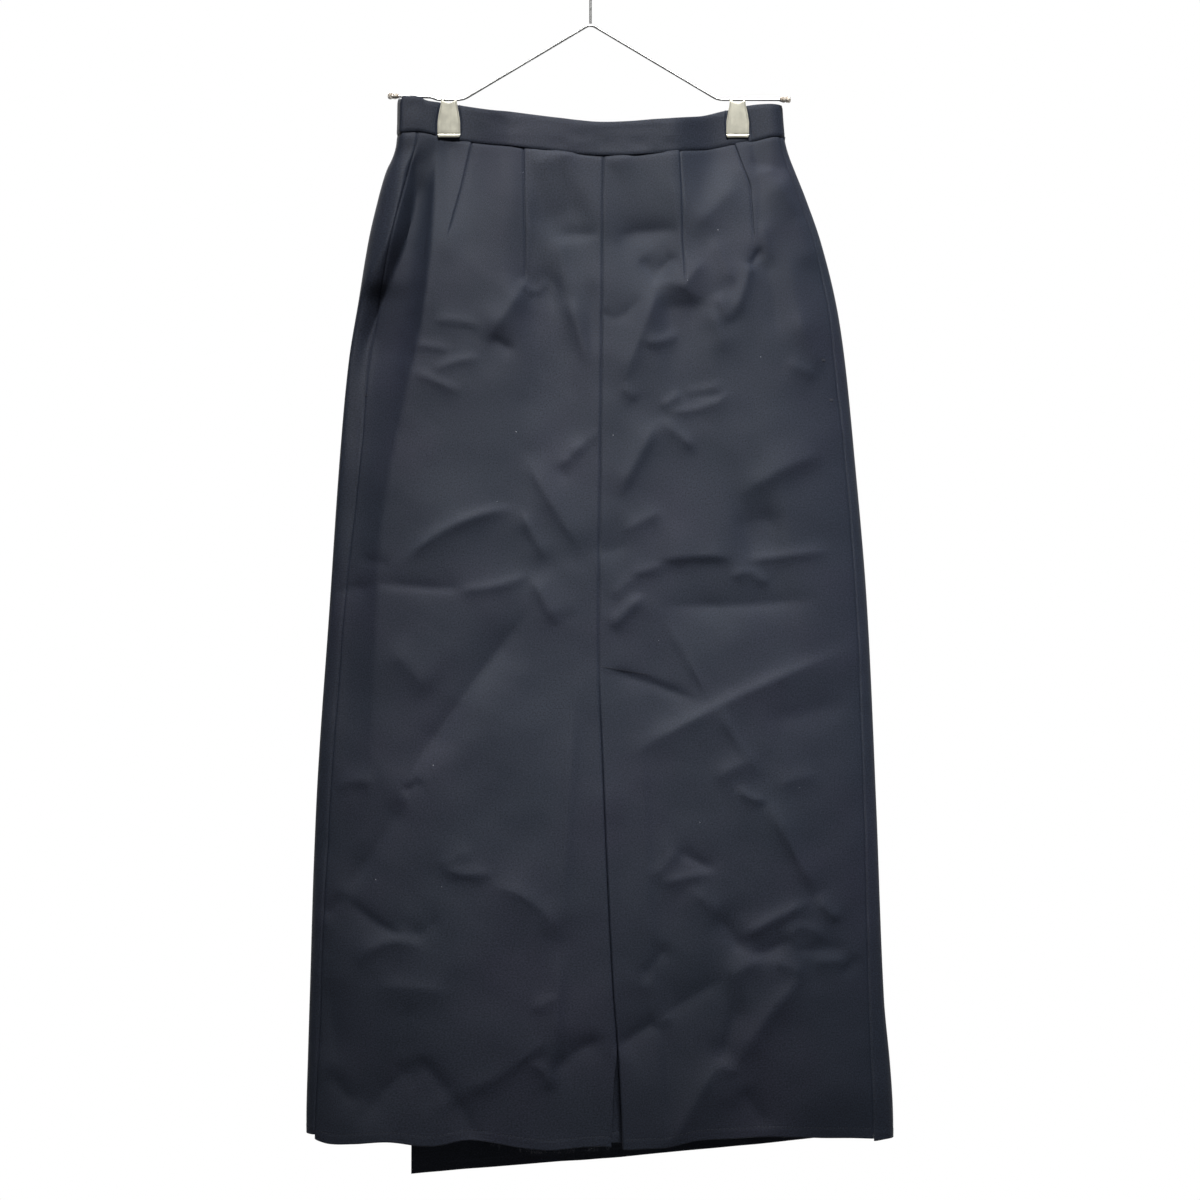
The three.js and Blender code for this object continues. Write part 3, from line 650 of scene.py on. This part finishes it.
def shell(name, outer, thick, material, uv):
    """A closed mesh of a grid of outer points, rows by columns: its inner face lies thick inside, and its
    first and last rows are rounded over."""
    down, along = np.gradient(outer, axis=0), np.gradient(outer, axis=1)
    normal = unit(np.cross(down, along))
    inner = outer - normal * np.broadcast_to(thick, outer.shape[:2])[..., None]

    def rim(row, heading):
        middle, radius = (outer[row] + inner[row]) / 2, (outer[row] - inner[row]) / 2
        tip = unit(heading) * np.linalg.norm(radius, axis=-1, keepdims=True)
        return [middle + radius * math.cos(a) + tip * math.sin(a) for a in (0.7, 1.57, 2.44)]

    rows, columns = outer.shape[:2]
    bottom = rim(-1, down[-1])
    top = rim(0, -down[0])[::-1]
    loop = np.array([*outer, *bottom, *inner[::-1], *top])
    v_of = np.array([*uv[1][:, 0], *[uv[1][-1, 0]] * 3, *uv[1][::-1, 0], *[uv[1][0, 0]] * 3])
    ring = len(loop)
    index = np.arange(ring * columns).reshape(ring, columns)
    faces = quads(np.r_[index, index[:1]]).tolist()
    for side, column in ((1, 0), (-1, columns - 1)):
        inside = [ring - 4 - j for j in range(rows)]
        for j in range(rows - 1):
            corners = [j, inside[j], inside[j + 1], j + 1]
            faces.append([int(index[k, column]) for k in corners[::side]])
        for cap in ([*range(rows - 1, rows + 4)], [*range(ring - 4, ring), 0]):
            faces.append([int(index[k, column]) for k in cap[::side]])
    mesh = new_mesh(name, loop.reshape(-1, 3), faces, material)
    layer = mesh.uv_layers.new(name="cloth")
    shape = (ring, columns)
    flat_uv = np.stack([np.broadcast_to(uv[0][0], shape), np.broadcast_to(v_of[:, None], shape)], -1)
    loops = np.empty(len(mesh.loops), int)
    mesh.loops.foreach_get("vertex_index", loops)
    layer.data.foreach_set("uv", (flat_uv.reshape(-1, 2)[loops] * MM).ravel())
    mesh.set_sharp_from_angle(angle=math.radians(62))
    return linked(name, mesh)


def lay(angle_of, v, hem_rows, lift_of):
    """Outer points of a panel, with each point's place on the cloth. angle_of gives each column's angle at
    a drop, and v the rows from seam to hem. The drops and the form depend on each other, so they are found
    in a few rounds."""
    first = 50.0
    drop = np.broadcast_to(mix(first, HEM_DROP, v[:, None]), (len(v), angle_of(first).shape[-1])).copy()
    for _ in range(4):
        angle = angle_of(drop)
        x = body(angle, drop)[..., 0]
        top = read(WAIST, "seam", x) + SEAM_GAP
        hem = read(hem_rows, "drop", x)
        drop = top + (hem - top) * v[:, None]
    height = relief(angle, x, drop, hem) + lift_of(angle, drop)
    arc = arc_lengths(body(angle, drop)[len(v) // 2])
    return raised(angle, drop, height), (np.broadcast_to(arc, drop.shape), drop)


def between(lines, step):
    """Columns of a back panel, as a function of drop: close together at each of its lines, and elsewhere a
    step apart."""
    spans = []
    probe = np.array([200.0, 600.0])
    for k in range(len(lines) - 1):
        width = float(np.mean(lines[k + 1](probe) - lines[k](probe)))
        shares = spread(width, step, SEAM_STEPS, SEAM_STEPS)
        spans += [(k, s) for s in (shares if k == 0 else shares[1:])]
    which = np.array([k for k, _ in spans])
    share = np.array([s for _, s in spans])

    def angle_of(drop):
        drop = np.broadcast_to(drop, np.broadcast_shapes(np.shape(drop), which.shape))
        edges = np.stack([line(drop) for line in lines])
        low = np.take_along_axis(edges, np.broadcast_to(which, drop.shape)[None], 0)[0]
        high = np.take_along_axis(edges, np.broadcast_to(which + 1, drop.shape)[None], 0)[0]
        return angle_at(mix(low, high, share), drop, "back")

    return angle_of


def swept(start, end, step):
    """Columns from one angle to another, evenly spaced round the body."""
    probe = np.linspace(start(500.0), end(500.0), 400)
    arc = arc_lengths(body(probe, np.full_like(probe, 500)))
    shares = spread(arc[-1], step, SEAM_STEPS, SEAM_STEPS) * arc[-1]
    share = (np.interp(shares, arc, probe) - probe[0]) / (probe[-1] - probe[0])
    return lambda drop: mix(start(drop), end(drop), share)


def no_lift(angle, _):
    """A panel that lies on the form itself."""
    return np.zeros_like(angle)


def wrap_lift(angle, drop):
    """How far the outer front layer stands off the inner one, from the right fold on."""
    free = LAYER_LIFT + 1.8 * ease(drop, 34, 58)
    return free * ease(angle, math.pi, math.pi + 0.7)


def band_lift(angle):
    """The same for the waistband, whose last stretch lies over its first."""
    to_end = ease(angle, 2 * math.pi - 0.64, 2 * math.pi - 0.42)
    return wrap_lift(angle, 0) + (END_LIFT - LAYER_LIFT) * to_end


def seam(rows, column, aside=0.0):
    """A seam or free edge from a table: its x as a function of drop."""
    return lambda drop: read(rows, column, drop) + aside


def edge(line, side):
    """The angle of a line as a function of drop."""
    return lambda drop: angle_at(line(drop), drop, side)


def vent_underlap(material):
    """The strip behind the slit, with its own stitched hem."""
    hem_drop = HEM_DROP - 3
    u, v = np.meshgrid(spread(60, 3, SEAM_STEPS), spread(420, 3, (), HEM_STEPS))
    drop = mix(VENT_TOP_DROP + 6 * u, hem_drop, v)
    x = mix(read(CENTRE_BACK, "left", drop) - 8, read(CENTRE_BACK, "right", drop) + 42, u)
    angle = angle_at(x, drop, "back")
    above = hem_drop - drop
    deeper = 8.5 * ease(drop, 790, 915)
    hem = 0.15 * ease(above, 9.6, 8.4) + groove(above - 8.8, 0.8, 0.15)
    height = crease_height(BACK_CREASES, x, drop) - 2.9 - deeper + hem
    piece = shell("underlap_cloth", raised(angle, drop, height), UNDERLAP_CLOTH, material, (x, drop))
    place(piece, "vent_underlap")


def skirt(material):
    """The four panels: two of the back, and the two layers of the front."""
    gap = SEAM_GAP / 2
    left_lines = (
        seam(SECTIONS, "seam_left", gap),
        dart_line(DARTS[1], -0.07),
        dart_line(DARTS[0]),
        seam(CENTRE_BACK, "left", -gap),
    )
    right_lines = (
        seam(CENTRE_BACK, "right", gap),
        dart_line(DARTS[2], 0.03),
        dart_line(DARTS[3], 0.06),
        seam(SECTIONS, "seam_right", -gap),
    )
    wrap_edges = (
        edge(seam(SECTIONS, "seam_right", gap), "back"),
        edge(seam(FREE_EDGES, "wrap"), "front_from_right"),
    )
    under_edges = (
        edge(seam(FREE_EDGES, "under"), "front_from_left"),
        edge(seam(SECTIONS, "seam_left", -gap), "back"),
    )
    rows = spread(HEM_DROP - 45, 3.0, SEAM_STEPS, HEM_STEPS)
    for name, angle_of, hem_rows, lift_of, cut, area in (
        ("back_left", between(left_lines, 3.0), BACK_HEM, no_lift, (0.27, 0.93), 0.207),
        ("back_right", between(right_lines, 3.0), BACK_HEM, no_lift, (0.27, 0.93), 0.196),
        ("front_wrap", swept(*wrap_edges, 3.6), WRAP_HEM, wrap_lift, (0.47, 0.96), 0.387),
        ("front_under", swept(*under_edges, 3.6), UNDER_HEM, no_lift, (0.30, 0.93), 0.219),
    ):
        points, uv = lay(angle_of, rows, hem_rows, lift_of)
        piece = shell(name + "_cloth", points, CLOTH, material, uv)
        place(piece, name + "_panel")


def waistband(material):
    """One strip from the under panel's free edge round to the wrap panel's, with more columns beside the
    clips, where the cloth is nipped in."""
    level = 20.0
    start = float(angle_at(read(FREE_EDGES, "under", 28.0), level, "front_from_left"))
    end = float(angle_at(-167.5, level, "front_from_right"))
    probe = np.linspace(start, end, 900)
    arc = arc_lengths(body(probe, np.full_like(probe, level)))
    even = np.interp(np.linspace(0, arc[-1], 360), arc, probe)
    reaches = np.arange(6.5, 12.6, 0.5)
    beside = [clip["x"] + side * reach for clip in CLIPS for side in (-1, 1) for reach in reaches]
    angles = np.unique(np.r_[even, angle_at(np.array(beside), level, "back")])
    angle, v = np.meshgrid(angles, spread(BAND_HEIGHT, 2.2, (0, 0.6, 1.4), (0, 0.6, 1.4)))
    x, y, _ = np.moveaxis(body(angle, np.full_like(angle, level)), -1, 0)
    notch = PRESSED_END["notch"] * ease(x, -165, -167.5) * ease(y, 5, 3) * ease(y, -4.2, -3)
    drop = mix(read(WAIST, "top", x) + notch, read(WAIST, "seam", x), v)
    drop = drop + 0.35 * noise(x, angle * 40, 26, 31) * (1 - v)
    share = fold_share(angle, drop)
    free = np.minimum(1, sum(ease(np.abs(x - clip["x"]), 13, 30) for clip in CLIPS) - 1)
    soft = 0.7 * noise(x, drop * 2, 38, 32) + 0.25 * noise(x, drop * 2, 14, 33)
    edges = groove(v * BAND_HEIGHT, 1.6, 0.5) + groove((1 - v) * BAND_HEIGHT, 1.2, 0.5)
    join = groove(x - 2, 1.2, 0.35) * (share > 0.5)
    for clip in CLIPS:
        past_edge = np.abs(x - clip["x"]) - read(CLIP_WIDTHS, "half", drop) - 0.6
        join = join + groove(past_edge, 0.9, 0.9) * (share > 0.5) * ease(drop, 36, 34.5)
    height = band_lift(angle) + soft * free * np.minimum(np.abs(share) * 3, 1) + edges + join
    uv = np.broadcast_to(np.interp(angles, probe, arc), v.shape), drop
    piece = shell("waistband_cloth", raised(angle, drop, height), BAND, material, uv)
    place(piece, "waistband")


# ---- Threads ----


def surface_place(x, drop, lift):
    """A point of the back, standing off the creased cloth."""
    x, drop = np.array([x], float), np.array([drop], float)
    angle = angle_at(x, drop, "back")
    height = relief(angle, x, drop, back_hem(x)) + lift
    return raised(angle, drop, height)[0]


def strands(name, paths, radius, thread):
    """Thin threads along paths."""
    place(tubes(name, paths, radius, thread, 1))


def stitch_row(start, end, pitch, length, drop_of=None):
    """Short stitches between two places on the back."""
    count = int(math.hypot(end[0] - start[0], end[1] - start[1]) / pitch)
    rows = []
    for k in range(count):
        ends = []
        for t in ((k + 0.15) / count, (k + 0.15 + length / pitch) / count):
            x, drop = mix(start[0], end[0], t), mix(start[1], end[1], t)
            drop = drop if drop_of is None else drop_of(x)
            ends.append(surface_place(x, drop, 0.16))
        rows.append(ends)
    return rows


def stitches(thread):
    """The hem's blind stitches, the slant row at the vent's top, and the small bars by the side seams."""
    hem = []
    for start, end in ((-243, 17), (31, 249)):
        hem += stitch_row((start, 0), (end, 0), 3.4, 2.2, lambda x: back_hem(x) - HEM_STITCH)
    strands("hem_stitches", hem, 0.16, thread)
    strands("vent_stitches", stitch_row((8.4, 502.6), (51, 510), 2.6, 1.9), 0.18, thread)
    tacks = []
    for x, drop in ((-199.6, 261), (206.5, 231), (214, 266)):
        for k in range(5):
            tacks.append([surface_place(x + end, drop + 0.45 * k, 0.2) for end in (-1.6, 1.6)])
    strands("bar_tacks", tacks, 0.2, thread)


def loose_threads(thread, lint):
    """Frayed ends along the worn stretch of hem, and a few specks of lint."""
    rng = np.random.default_rng(5)
    frayed = []
    for x in np.r_[rng.uniform(-86, 16, 34), rng.uniform(-60, -20, 14)]:
        foot = surface_place(x, float(back_hem(x)) - 1.0, -0.4)
        long = rng.uniform(1.5, 6.5)
        sway = rng.uniform(-2.5, 2.5)
        frayed.append([foot + np.array([sway * t * t, 0.8 * t, -long * t]) for t in (0, 0.35, 0.7, 1)])
    strands("frayed_threads", frayed, 0.14, thread)
    specks = []
    for x, drop in ((85, 164), (112, 119), (-65, 297), (-82, 358), (-131, 697), (-190, 691), (-138, 590),
                    (20, 300), (-59, 68), (184, 610), (96, 640), (-40, 215), (150, 230), (60, 480)):
        spot = surface_place(x, drop, 0.25)
        bend = rng.uniform(-1, 1, 2)
        specks.append([spot, spot + np.array([bend[0], 0, bend[1]])])
    strands("lint", specks, 0.16, lint)


# ---- Hanger ----

# The hook's inside radius and how far round it goes, the neck's bend, and where the arms meet the bar.
HOOK_RADIUS = 22.0
HOOK_END = math.radians(200)
NECK_RADIUS = 12.0
NECK_TURN = math.radians(70)
SHOULDER = 113.0
# The wire ends this far inside a cap's tip.
CAP_SEAT = 3.5
# A cap's radius at each place back from its tip: a bead at the tip, and another where it takes the wire.
CAP_PROFILE = table(
    "radius back",
    (1.45, 10), (1.75, 9.85), (1.9, 9), (2.3, 7.8), (2.75, 6.6), (2.55, 5.4), (2.15, 4.7), (2.5, 4),
    (2.95, 2.8), (2.85, 1.5), (2.1, 0.45), (1, 0.08), (0, 0),
)


def wire(name, path, node, metal, radius=WIRE_RADIUS):
    """A smooth round wire along a path."""
    place(tubes(name, [path], radius, metal, 5, caps=True), node)


def rounded(corners, reach, steps=10):
    """A path through corners, each turned over a reach where there is room."""
    path = [corners[0]]
    for before, corner, after in zip(corners, corners[1:], corners[2:]):
        room = min(np.linalg.norm(before - corner), np.linalg.norm(after - corner))
        enter = corner + unit(before - corner) * min(reach, 0.4 * room)
        leave = corner + unit(after - corner) * min(reach, 0.4 * room)
        for t in np.linspace(0, 1, steps):
            path.append((1 - t) ** 2 * enter + 2 * t * (1 - t) * corner + t * t * leave)
    return [*path, corners[-1]]


def hanger(steel, vinyl):
    """One wire bent to the two sloping arms and the bar's two ends, the hook on the apex, and the caps."""
    level = ARM_LEVEL
    left_end = LEFT_TIP["x"] + CAP_SEAT
    corners = [np.array([x, 0, z], float) for x, z in (
        (left_end, level + LEFT_TIP["rise"]),
        (LEFT_TIP["crank"], level + LEFT_TIP["crank_rise"]),
        (LEFT_TIP["bent_from"], level),
        (-SHOULDER, level),
        (0, APEX_LEVEL),
        (SHOULDER, level),
        (RIGHT_TIP - CAP_SEAT, level),
    )]
    wire("hanger_wire_bent", rounded(corners, 5), "hanger_wire", steel)
    bow = HOOK_RADIUS + WIRE_RADIUS
    neck_start = -HOOK_RADIUS - (bow + NECK_RADIUS) * math.sin(NECK_TURN)
    path = [(0, 0, APEX_LEVEL + 0.5), (0, 0, neck_start)]
    for turn in np.linspace(0, NECK_TURN, 10)[1:]:
        path.append((NECK_RADIUS * (1 - math.cos(turn)), 0, neck_start + NECK_RADIUS * math.sin(turn)))
    centre = NECK_RADIUS * (1 - math.cos(NECK_TURN)) - bow * math.cos(NECK_TURN)
    for turn in np.linspace(-NECK_TURN, HOOK_END, 64)[1:]:
        path.append((centre + bow * math.cos(turn), 0, bow * math.sin(turn) - HOOK_RADIUS))
    wire("hanger_hook_bent", path, "hanger_hook", steel)
    slope = math.atan2(LEFT_TIP["rise"] - LEFT_TIP["crank_rise"], LEFT_TIP["crank"] - left_end)
    left_level = level + LEFT_TIP["rise"] + CAP_SEAT * math.tan(slope)
    end_cap("cap_left", (LEFT_TIP["x"], left_level), math.pi - slope, vinyl)
    end_cap("cap_right", (RIGHT_TIP, level), 0, vinyl)


def end_cap(node, tip, heading, vinyl):
    """A soft moulded cap, round about its wire."""
    turns = np.linspace(0, 2 * math.pi, 32, endpoint=False)
    radius, back = (CAP_PROFILE[column][:, None] for column in ("radius", "back"))
    aside = radius * np.sin(turns)
    x = tip[0] - back * math.cos(heading) - aside * math.sin(heading)
    z = tip[1] - back * math.sin(heading) + aside * math.cos(heading)
    points = np.stack([x, radius * np.cos(turns), z], -1)
    index = np.arange(x.size).reshape(x.shape)
    faces = quads(np.c_[index, index[:, :1]].T).tolist()
    place(linked(node + "_moulded", new_mesh(node, points.reshape(-1, 3), faces, vinyl)), node)


def clip_leg(face, side):
    """Grid of one leg's middle surface, off a cloth's face. Its edges are rolled outwards, and a lip is
    pressed across its foot."""
    half_across = np.array([0.3, 0.6, 0.8, 0.84, 0.9, 0.95, 0.985, 1])
    across = np.r_[-half_across[::-1], 0, half_across]
    foot = np.array([29.6, 30.6, 31.1, 31.5, 32.1, 32.6, 33.2, 33.8, 34.1])
    drops = np.r_[2.2, 3.4, np.arange(5, 21, 3), 22, 24, 27, foot]
    u, drop = np.meshgrid(across, drops)
    notch = 1.9 * (1 - np.minimum(np.abs(u) / 0.68, 1) ** 2) * ease(drop, 9, 2.2)
    shoulder = 0.5 * ease(drop, 30, 12)
    roll = 0.55 * ease(np.abs(u), 0.84, 0.97)
    lip = 0.08 * ease(drop, 31.2, 32.3) + groove(drop - 31.1, 0.45, 0.5)
    foot_tuck = 0.5 * ease(drop, 33.3, 34.2)
    out = face + LEG_STAND + shoulder + roll + lip - foot_tuck
    return np.stack([read(CLIP_WIDTHS, "half", drop) * u, side * out, ARM_LEVEL - drop - notch], -1)


def clip_strap(back, front, side):
    """Grid of one of the two straps that fold over the wire between the legs."""
    radius = WIRE_RADIUS + 0.85
    rows = [(-back, 5.5), (-back, 3.0), (-radius - 0.1, 0.8)]
    rows += [(-radius * math.cos(t), -radius * math.sin(t)) for t in np.linspace(0, math.pi, 12)]
    rows += [(radius + 0.1, 0.8), (front, 3.0), (front, 5.5)]
    widths = (4.7, 5.2, 6.0, 6.6)
    return np.array([[(side * width, y, ARM_LEVEL - drop) for width in widths] for y, drop in rows])


def clip(spec, metal):
    """A waisted spring-steel clip folded over the wire."""
    back, front = -spec["back_face"], spec["front_face"]
    grids = [clip_leg(back, -1), clip_leg(front, 1)]
    grids += [clip_strap(back + STRAP_STAND, front + STRAP_STAND, side) for side in (-1, 1)]
    points, faces = [], []
    for grid in grids:
        index = len(points) + np.arange(grid[..., 0].size).reshape(grid.shape[:2])
        points += (grid.reshape(-1, 3) + (spec["x"], 0, 0)).tolist()
        faces += quads(index).tolist()
    piece = linked(spec["name"] + "_metal", new_mesh(spec["name"], points, faces, metal))
    thickness = piece.modifiers.new("sheet", "SOLIDIFY")
    thickness.thickness = CLIP_SHEET * MM
    thickness.offset = 0
    edge = piece.modifiers.new("edge", "BEVEL")
    edge.width = 0.16 * MM
    edge.segments = 2
    edge.limit_method = "ANGLE"
    place(piece, spec["name"])


def fastener(metal):
    """The hook and bar that hold the wrap's end, with the bar's eye just showing past the fold."""
    here = np.array([2 * math.pi - 0.36]), np.array([15.0])
    middle, out = body(*here)[0], outward(*here)[0]
    along = unit(np.array([out[1], -out[0], 0.0]))
    up = np.array([0, 0, 1.0])

    def laid(lift, offsets):
        return [middle + along * a + up * b + out * (c + lift) for a, b, c in offsets]

    bar = laid(1.3, (
        (-3, -3.2, 0), (-3, -2.2, 0), (0, -2.2, 0.5), (0, 2.2, 0.5), (-3, 2.2, 0), (-3, 3.2, 0)))
    wire("waist_bar_wire", rounded(bar, 0.7, 4), "waist_bar", metal, 0.45)
    hook = laid(2.5, (
        (3.2, -3.2, 0), (-2.6, -2.6, 0), (-3.2, 0, -0.2), (-2.6, 2.6, 0), (3.2, 3.2, 0), (4.2, 0, 0),
        (3.2, -3.2, 0)))
    wire("waist_hook_wire", rounded(hook, 0.8, 4), "waist_hook", metal, 0.45)
    eye = np.array([-170.6, 12.5, ARM_LEVEL - 21.5])
    corners = [eye + (x, 0, z) for x, z in ((1.5, 1.6), (-0.9, 1.3), (-0.9, -1.3), (1.5, -1.6))]
    wire("waist_eye", rounded(corners, 0.9, 5), None, metal, 0.4)


# ---- Materials ----


def new_node(tree, kind, **values):
    """A node with values set on its inputs. An underscore stands for a space in an input's name."""
    node = tree.nodes.new("ShaderNode" + kind)
    for key, value in values.items():
        node.inputs[key.replace("_", " ")].default_value = value
    return node


def coordinates(tree, kind, **mapping):
    """Coordinates of that kind, turned or stretched where a mapping is given."""
    source = new_node(tree, "TexCoord").outputs[kind]
    if not mapping:
        return source
    node = new_node(tree, "Mapping", **mapping)
    tree.links.new(source, node.inputs["Vector"])
    return node.outputs["Vector"]


def shader(name, colour, roughness, **values):
    """A new material, its node tree and its shader, with values set on the shader's inputs."""
    material = bpy.data.materials.new(name)
    material.use_nodes = True
    bsdf = material.node_tree.nodes["Principled BSDF"]
    for key, value in {"Base_Color": (*colour, 1), "Roughness": roughness, **values}.items():
        bsdf.inputs[key.replace("_", " ")].default_value = value
    return material, material.node_tree, bsdf


def noise_node(tree, place_on, scale, detail=3.0, roughness=0.5):
    """Noise over coordinates, from 0 to 1."""
    node = new_node(tree, "TexNoise", Scale=scale, Detail=detail, Roughness=roughness)
    tree.links.new(place_on, node.inputs["Vector"])
    return node.outputs["Fac"]


def ramp_node(tree, source, *stops):
    """Colours, or greys given as one number, at places along a source."""
    node = new_node(tree, "ValToRGB")
    ramp = node.color_ramp.elements
    for _ in stops[2:]:
        ramp.new(0.5)
    for stop, (position, colour) in zip(ramp, stops):
        stop.position = position
        stop.color = (*(colour if isinstance(colour, tuple) else (colour,) * 3), 1)
    tree.links.new(source, node.inputs["Fac"])
    return node.outputs["Color"]


def add_bump(tree, bsdf, height, strength, distance):
    """Tilts the shader's surface by a height."""
    bump = new_node(tree, "Bump", Strength=strength, Distance=distance)
    tree.links.new(height, bump.inputs["Height"])
    tree.links.new(bump.outputs["Normal"], bsdf.inputs["Normal"])


def scaled(colour, share):
    """A colour made darker or lighter by a share."""
    return tuple(share * c for c in colour)


def gabardine():
    """Navy twill: fine diagonal wales, a faint drift of tint, and flecks of lighter fibre."""
    material, tree, bsdf = shader(
        "navy gabardine", (0.0135, 0.0172, 0.0290), 0.62, Specular_IOR_Level=0.25)
    drift = noise_node(tree, coordinates(tree, "Object"), 9, 4, 0.6)
    tint = ramp_node(
        tree, drift,
        (0.3, (0.0125, 0.0172, 0.0282)), (0.5, (0.0135, 0.0174, 0.0290)), (0.7, (0.0148, 0.0172, 0.0300)))
    flecks = ramp_node(tree, noise_node(tree, coordinates(tree, "UV"), 750, 2, 0.7), (0.3, 0.4), (0.7, 1.6))
    product = new_node(tree, "Mix", Factor=1.0)
    product.data_type = "RGBA"
    product.blend_type = "MULTIPLY"
    tree.links.new(tint, product.inputs["A"])
    tree.links.new(flecks, product.inputs["B"])
    tree.links.new(product.outputs["Result"], bsdf.inputs["Base Color"])
    wales = new_node(tree, "TexWave", Scale=420, Distortion=1.2, Detail=2, Detail_Scale=2.2)
    slant = coordinates(tree, "UV", Rotation=(0, 0, math.radians(62)))
    tree.links.new(slant, wales.inputs["Vector"])
    threads = noise_node(tree, coordinates(tree, "UV"), 1500, 2, 0.6)
    height = new_node(tree, "Math")
    height.operation = "ADD"
    tree.links.new(wales.outputs["Fac"], height.inputs[0])
    tree.links.new(threads, height.inputs[1])
    add_bump(tree, bsdf, height.outputs[0], 0.75, 0.00014)
    tree.links.new(ramp_node(tree, threads, (0.3, 0.56), (0.7, 0.70)), bsdf.inputs["Roughness"])
    return material


def drawn_metal(name, colour, roughness, grain, metallic=1.0):
    """Metal with faint drawing lines and a little tarnish; less metallic where it is lacquered."""
    material, tree, bsdf = shader(name, colour, roughness, Metallic=metallic)
    lines = noise_node(tree, coordinates(tree, "Object", Scale=grain), 1.0, 3, 0.6)
    rough = ramp_node(tree, lines, (0.3, roughness - 0.08), (0.7, roughness + 0.12))
    tree.links.new(rough, bsdf.inputs["Roughness"])
    stain = noise_node(tree, coordinates(tree, "Object"), 130)
    tone = ramp_node(tree, stain, (0.35, scaled(colour, 0.82)), (0.65, colour))
    tree.links.new(tone, bsdf.inputs["Base Color"])
    add_bump(tree, bsdf, lines, 0.15, 0.00005)
    return material


def milky_vinyl():
    """Cloudy, slightly clear plastic."""
    material, tree, bsdf = shader(
        "milky vinyl", (0.72, 0.66, 0.56), 0.28, Transmission_Weight=0.35, Coat_Weight=0.3)
    cloud = noise_node(tree, coordinates(tree, "Object"), 260)
    tone = ramp_node(tree, cloud, (0.35, (0.42, 0.34, 0.26)), (0.65, (0.82, 0.79, 0.72)))
    tree.links.new(tone, bsdf.inputs["Base Color"])
    return material


def thread_material(name, colour):
    """Spun fibre, lighter and darker along its twist."""
    material, tree, bsdf = shader(name, colour, 0.7, Specular_IOR_Level=0.3, Sheen_Weight=0.2)
    twist = noise_node(tree, coordinates(tree, "Object"), 2500, 2)
    tone = ramp_node(tree, twist, (0.3, scaled(colour, 0.8)), (0.7, scaled(colour, 1.2)))
    tree.links.new(tone, bsdf.inputs["Base Color"])
    return material


# ---- Camera, light and floor ----


def camera():
    """Square on to the back, level with the skirt's middle."""
    data = bpy.data.cameras.new("camera")
    data.sensor_width = 36
    data.lens = 74.3
    cam = linked("camera", data)
    cam.location = (0.00844, -2.2, -0.5868)
    cam.rotation_euler = (math.radians(90), 0, 0)
    bpy.context.scene.camera = cam


def area_light(name, place_m, target, size, watts, spread_degrees=180):
    """A soft lamp that points from its place to a target."""
    data = bpy.data.lights.new(name, "AREA")
    data.shape = "RECTANGLE"
    data.size, data.size_y = size
    data.energy = watts
    data.spread = math.radians(spread_degrees)
    lamp = linked(name, data)
    lamp.location = place_m
    aim = np.array(target, float) - np.array(place_m, float)
    tilt = math.atan2(math.hypot(aim[0], aim[1]), -aim[2])
    lamp.rotation_euler = (tilt, 0, math.atan2(aim[1], aim[0]) - math.pi / 2)


def studio():
    """A white wall lies behind the skirt as seen from the camera, and a dim room in front of it."""
    world = bpy.data.worlds.new("studio")
    bpy.context.scene.world = world
    world.use_nodes = True
    tree = world.node_tree
    split = new_node(tree, "SeparateXYZ")
    tree.links.new(coordinates(tree, "Generated"), split.inputs["Vector"])
    wall = new_node(tree, "MapRange", From_Min=0.1, From_Max=0.7, To_Min=0.085, To_Max=1.0)
    wall.interpolation_type = "SMOOTHSTEP"
    tree.links.new(split.outputs["Y"], wall.inputs["Value"])
    tree.links.new(wall.outputs["Result"], tree.nodes["Background"].inputs["Strength"])
    tree.nodes["Background"].inputs["Color"].default_value = (1, 1, 1, 1)
    bpy.context.scene.view_settings.view_transform = "Standard"
    area_light("key", (0.41, -0.91, 1.13), (0.31, 0.0, -0.43), (1.13, 0.56), 5.5, 15.5)
    area_light("rim", (-0.6, 1.3, 0.9), (0.0, 0.0, -0.5), (0.9, 0.7), 12)
    edge, level = 1100, ARM_LEVEL - 1320
    corners = [(x * edge, y * edge, level) for x, y in ((-1, -1), (1, -1), (1, 1), (-1, 1))]
    material, _, _ = shader("pale floor", (0.5, 0.5, 0.5), 0.9)
    linked("floor", new_mesh("floor", corners, [(0, 1, 2, 3)], material))


camera()
studio()
navy = gabardine()
steel = drawn_metal("drawn steel", (0.62, 0.62, 0.61), 0.42, (8, 300, 300))
nickel = drawn_metal("satin nickel", (0.66, 0.64, 0.53), 0.42, (900, 300, 30), 0.5)
dark_thread = thread_material("navy thread", (0.016, 0.018, 0.028))
lint_fibre = thread_material("lint", (0.5, 0.52, 0.56))
waistband(navy)
skirt(navy)
vent_underlap(navy)
stitches(dark_thread)
loose_threads(dark_thread, lint_fibre)
hanger(steel, milky_vinyl())
for clip_spec in CLIPS:
    clip(clip_spec, nickel)
fastener(nickel)
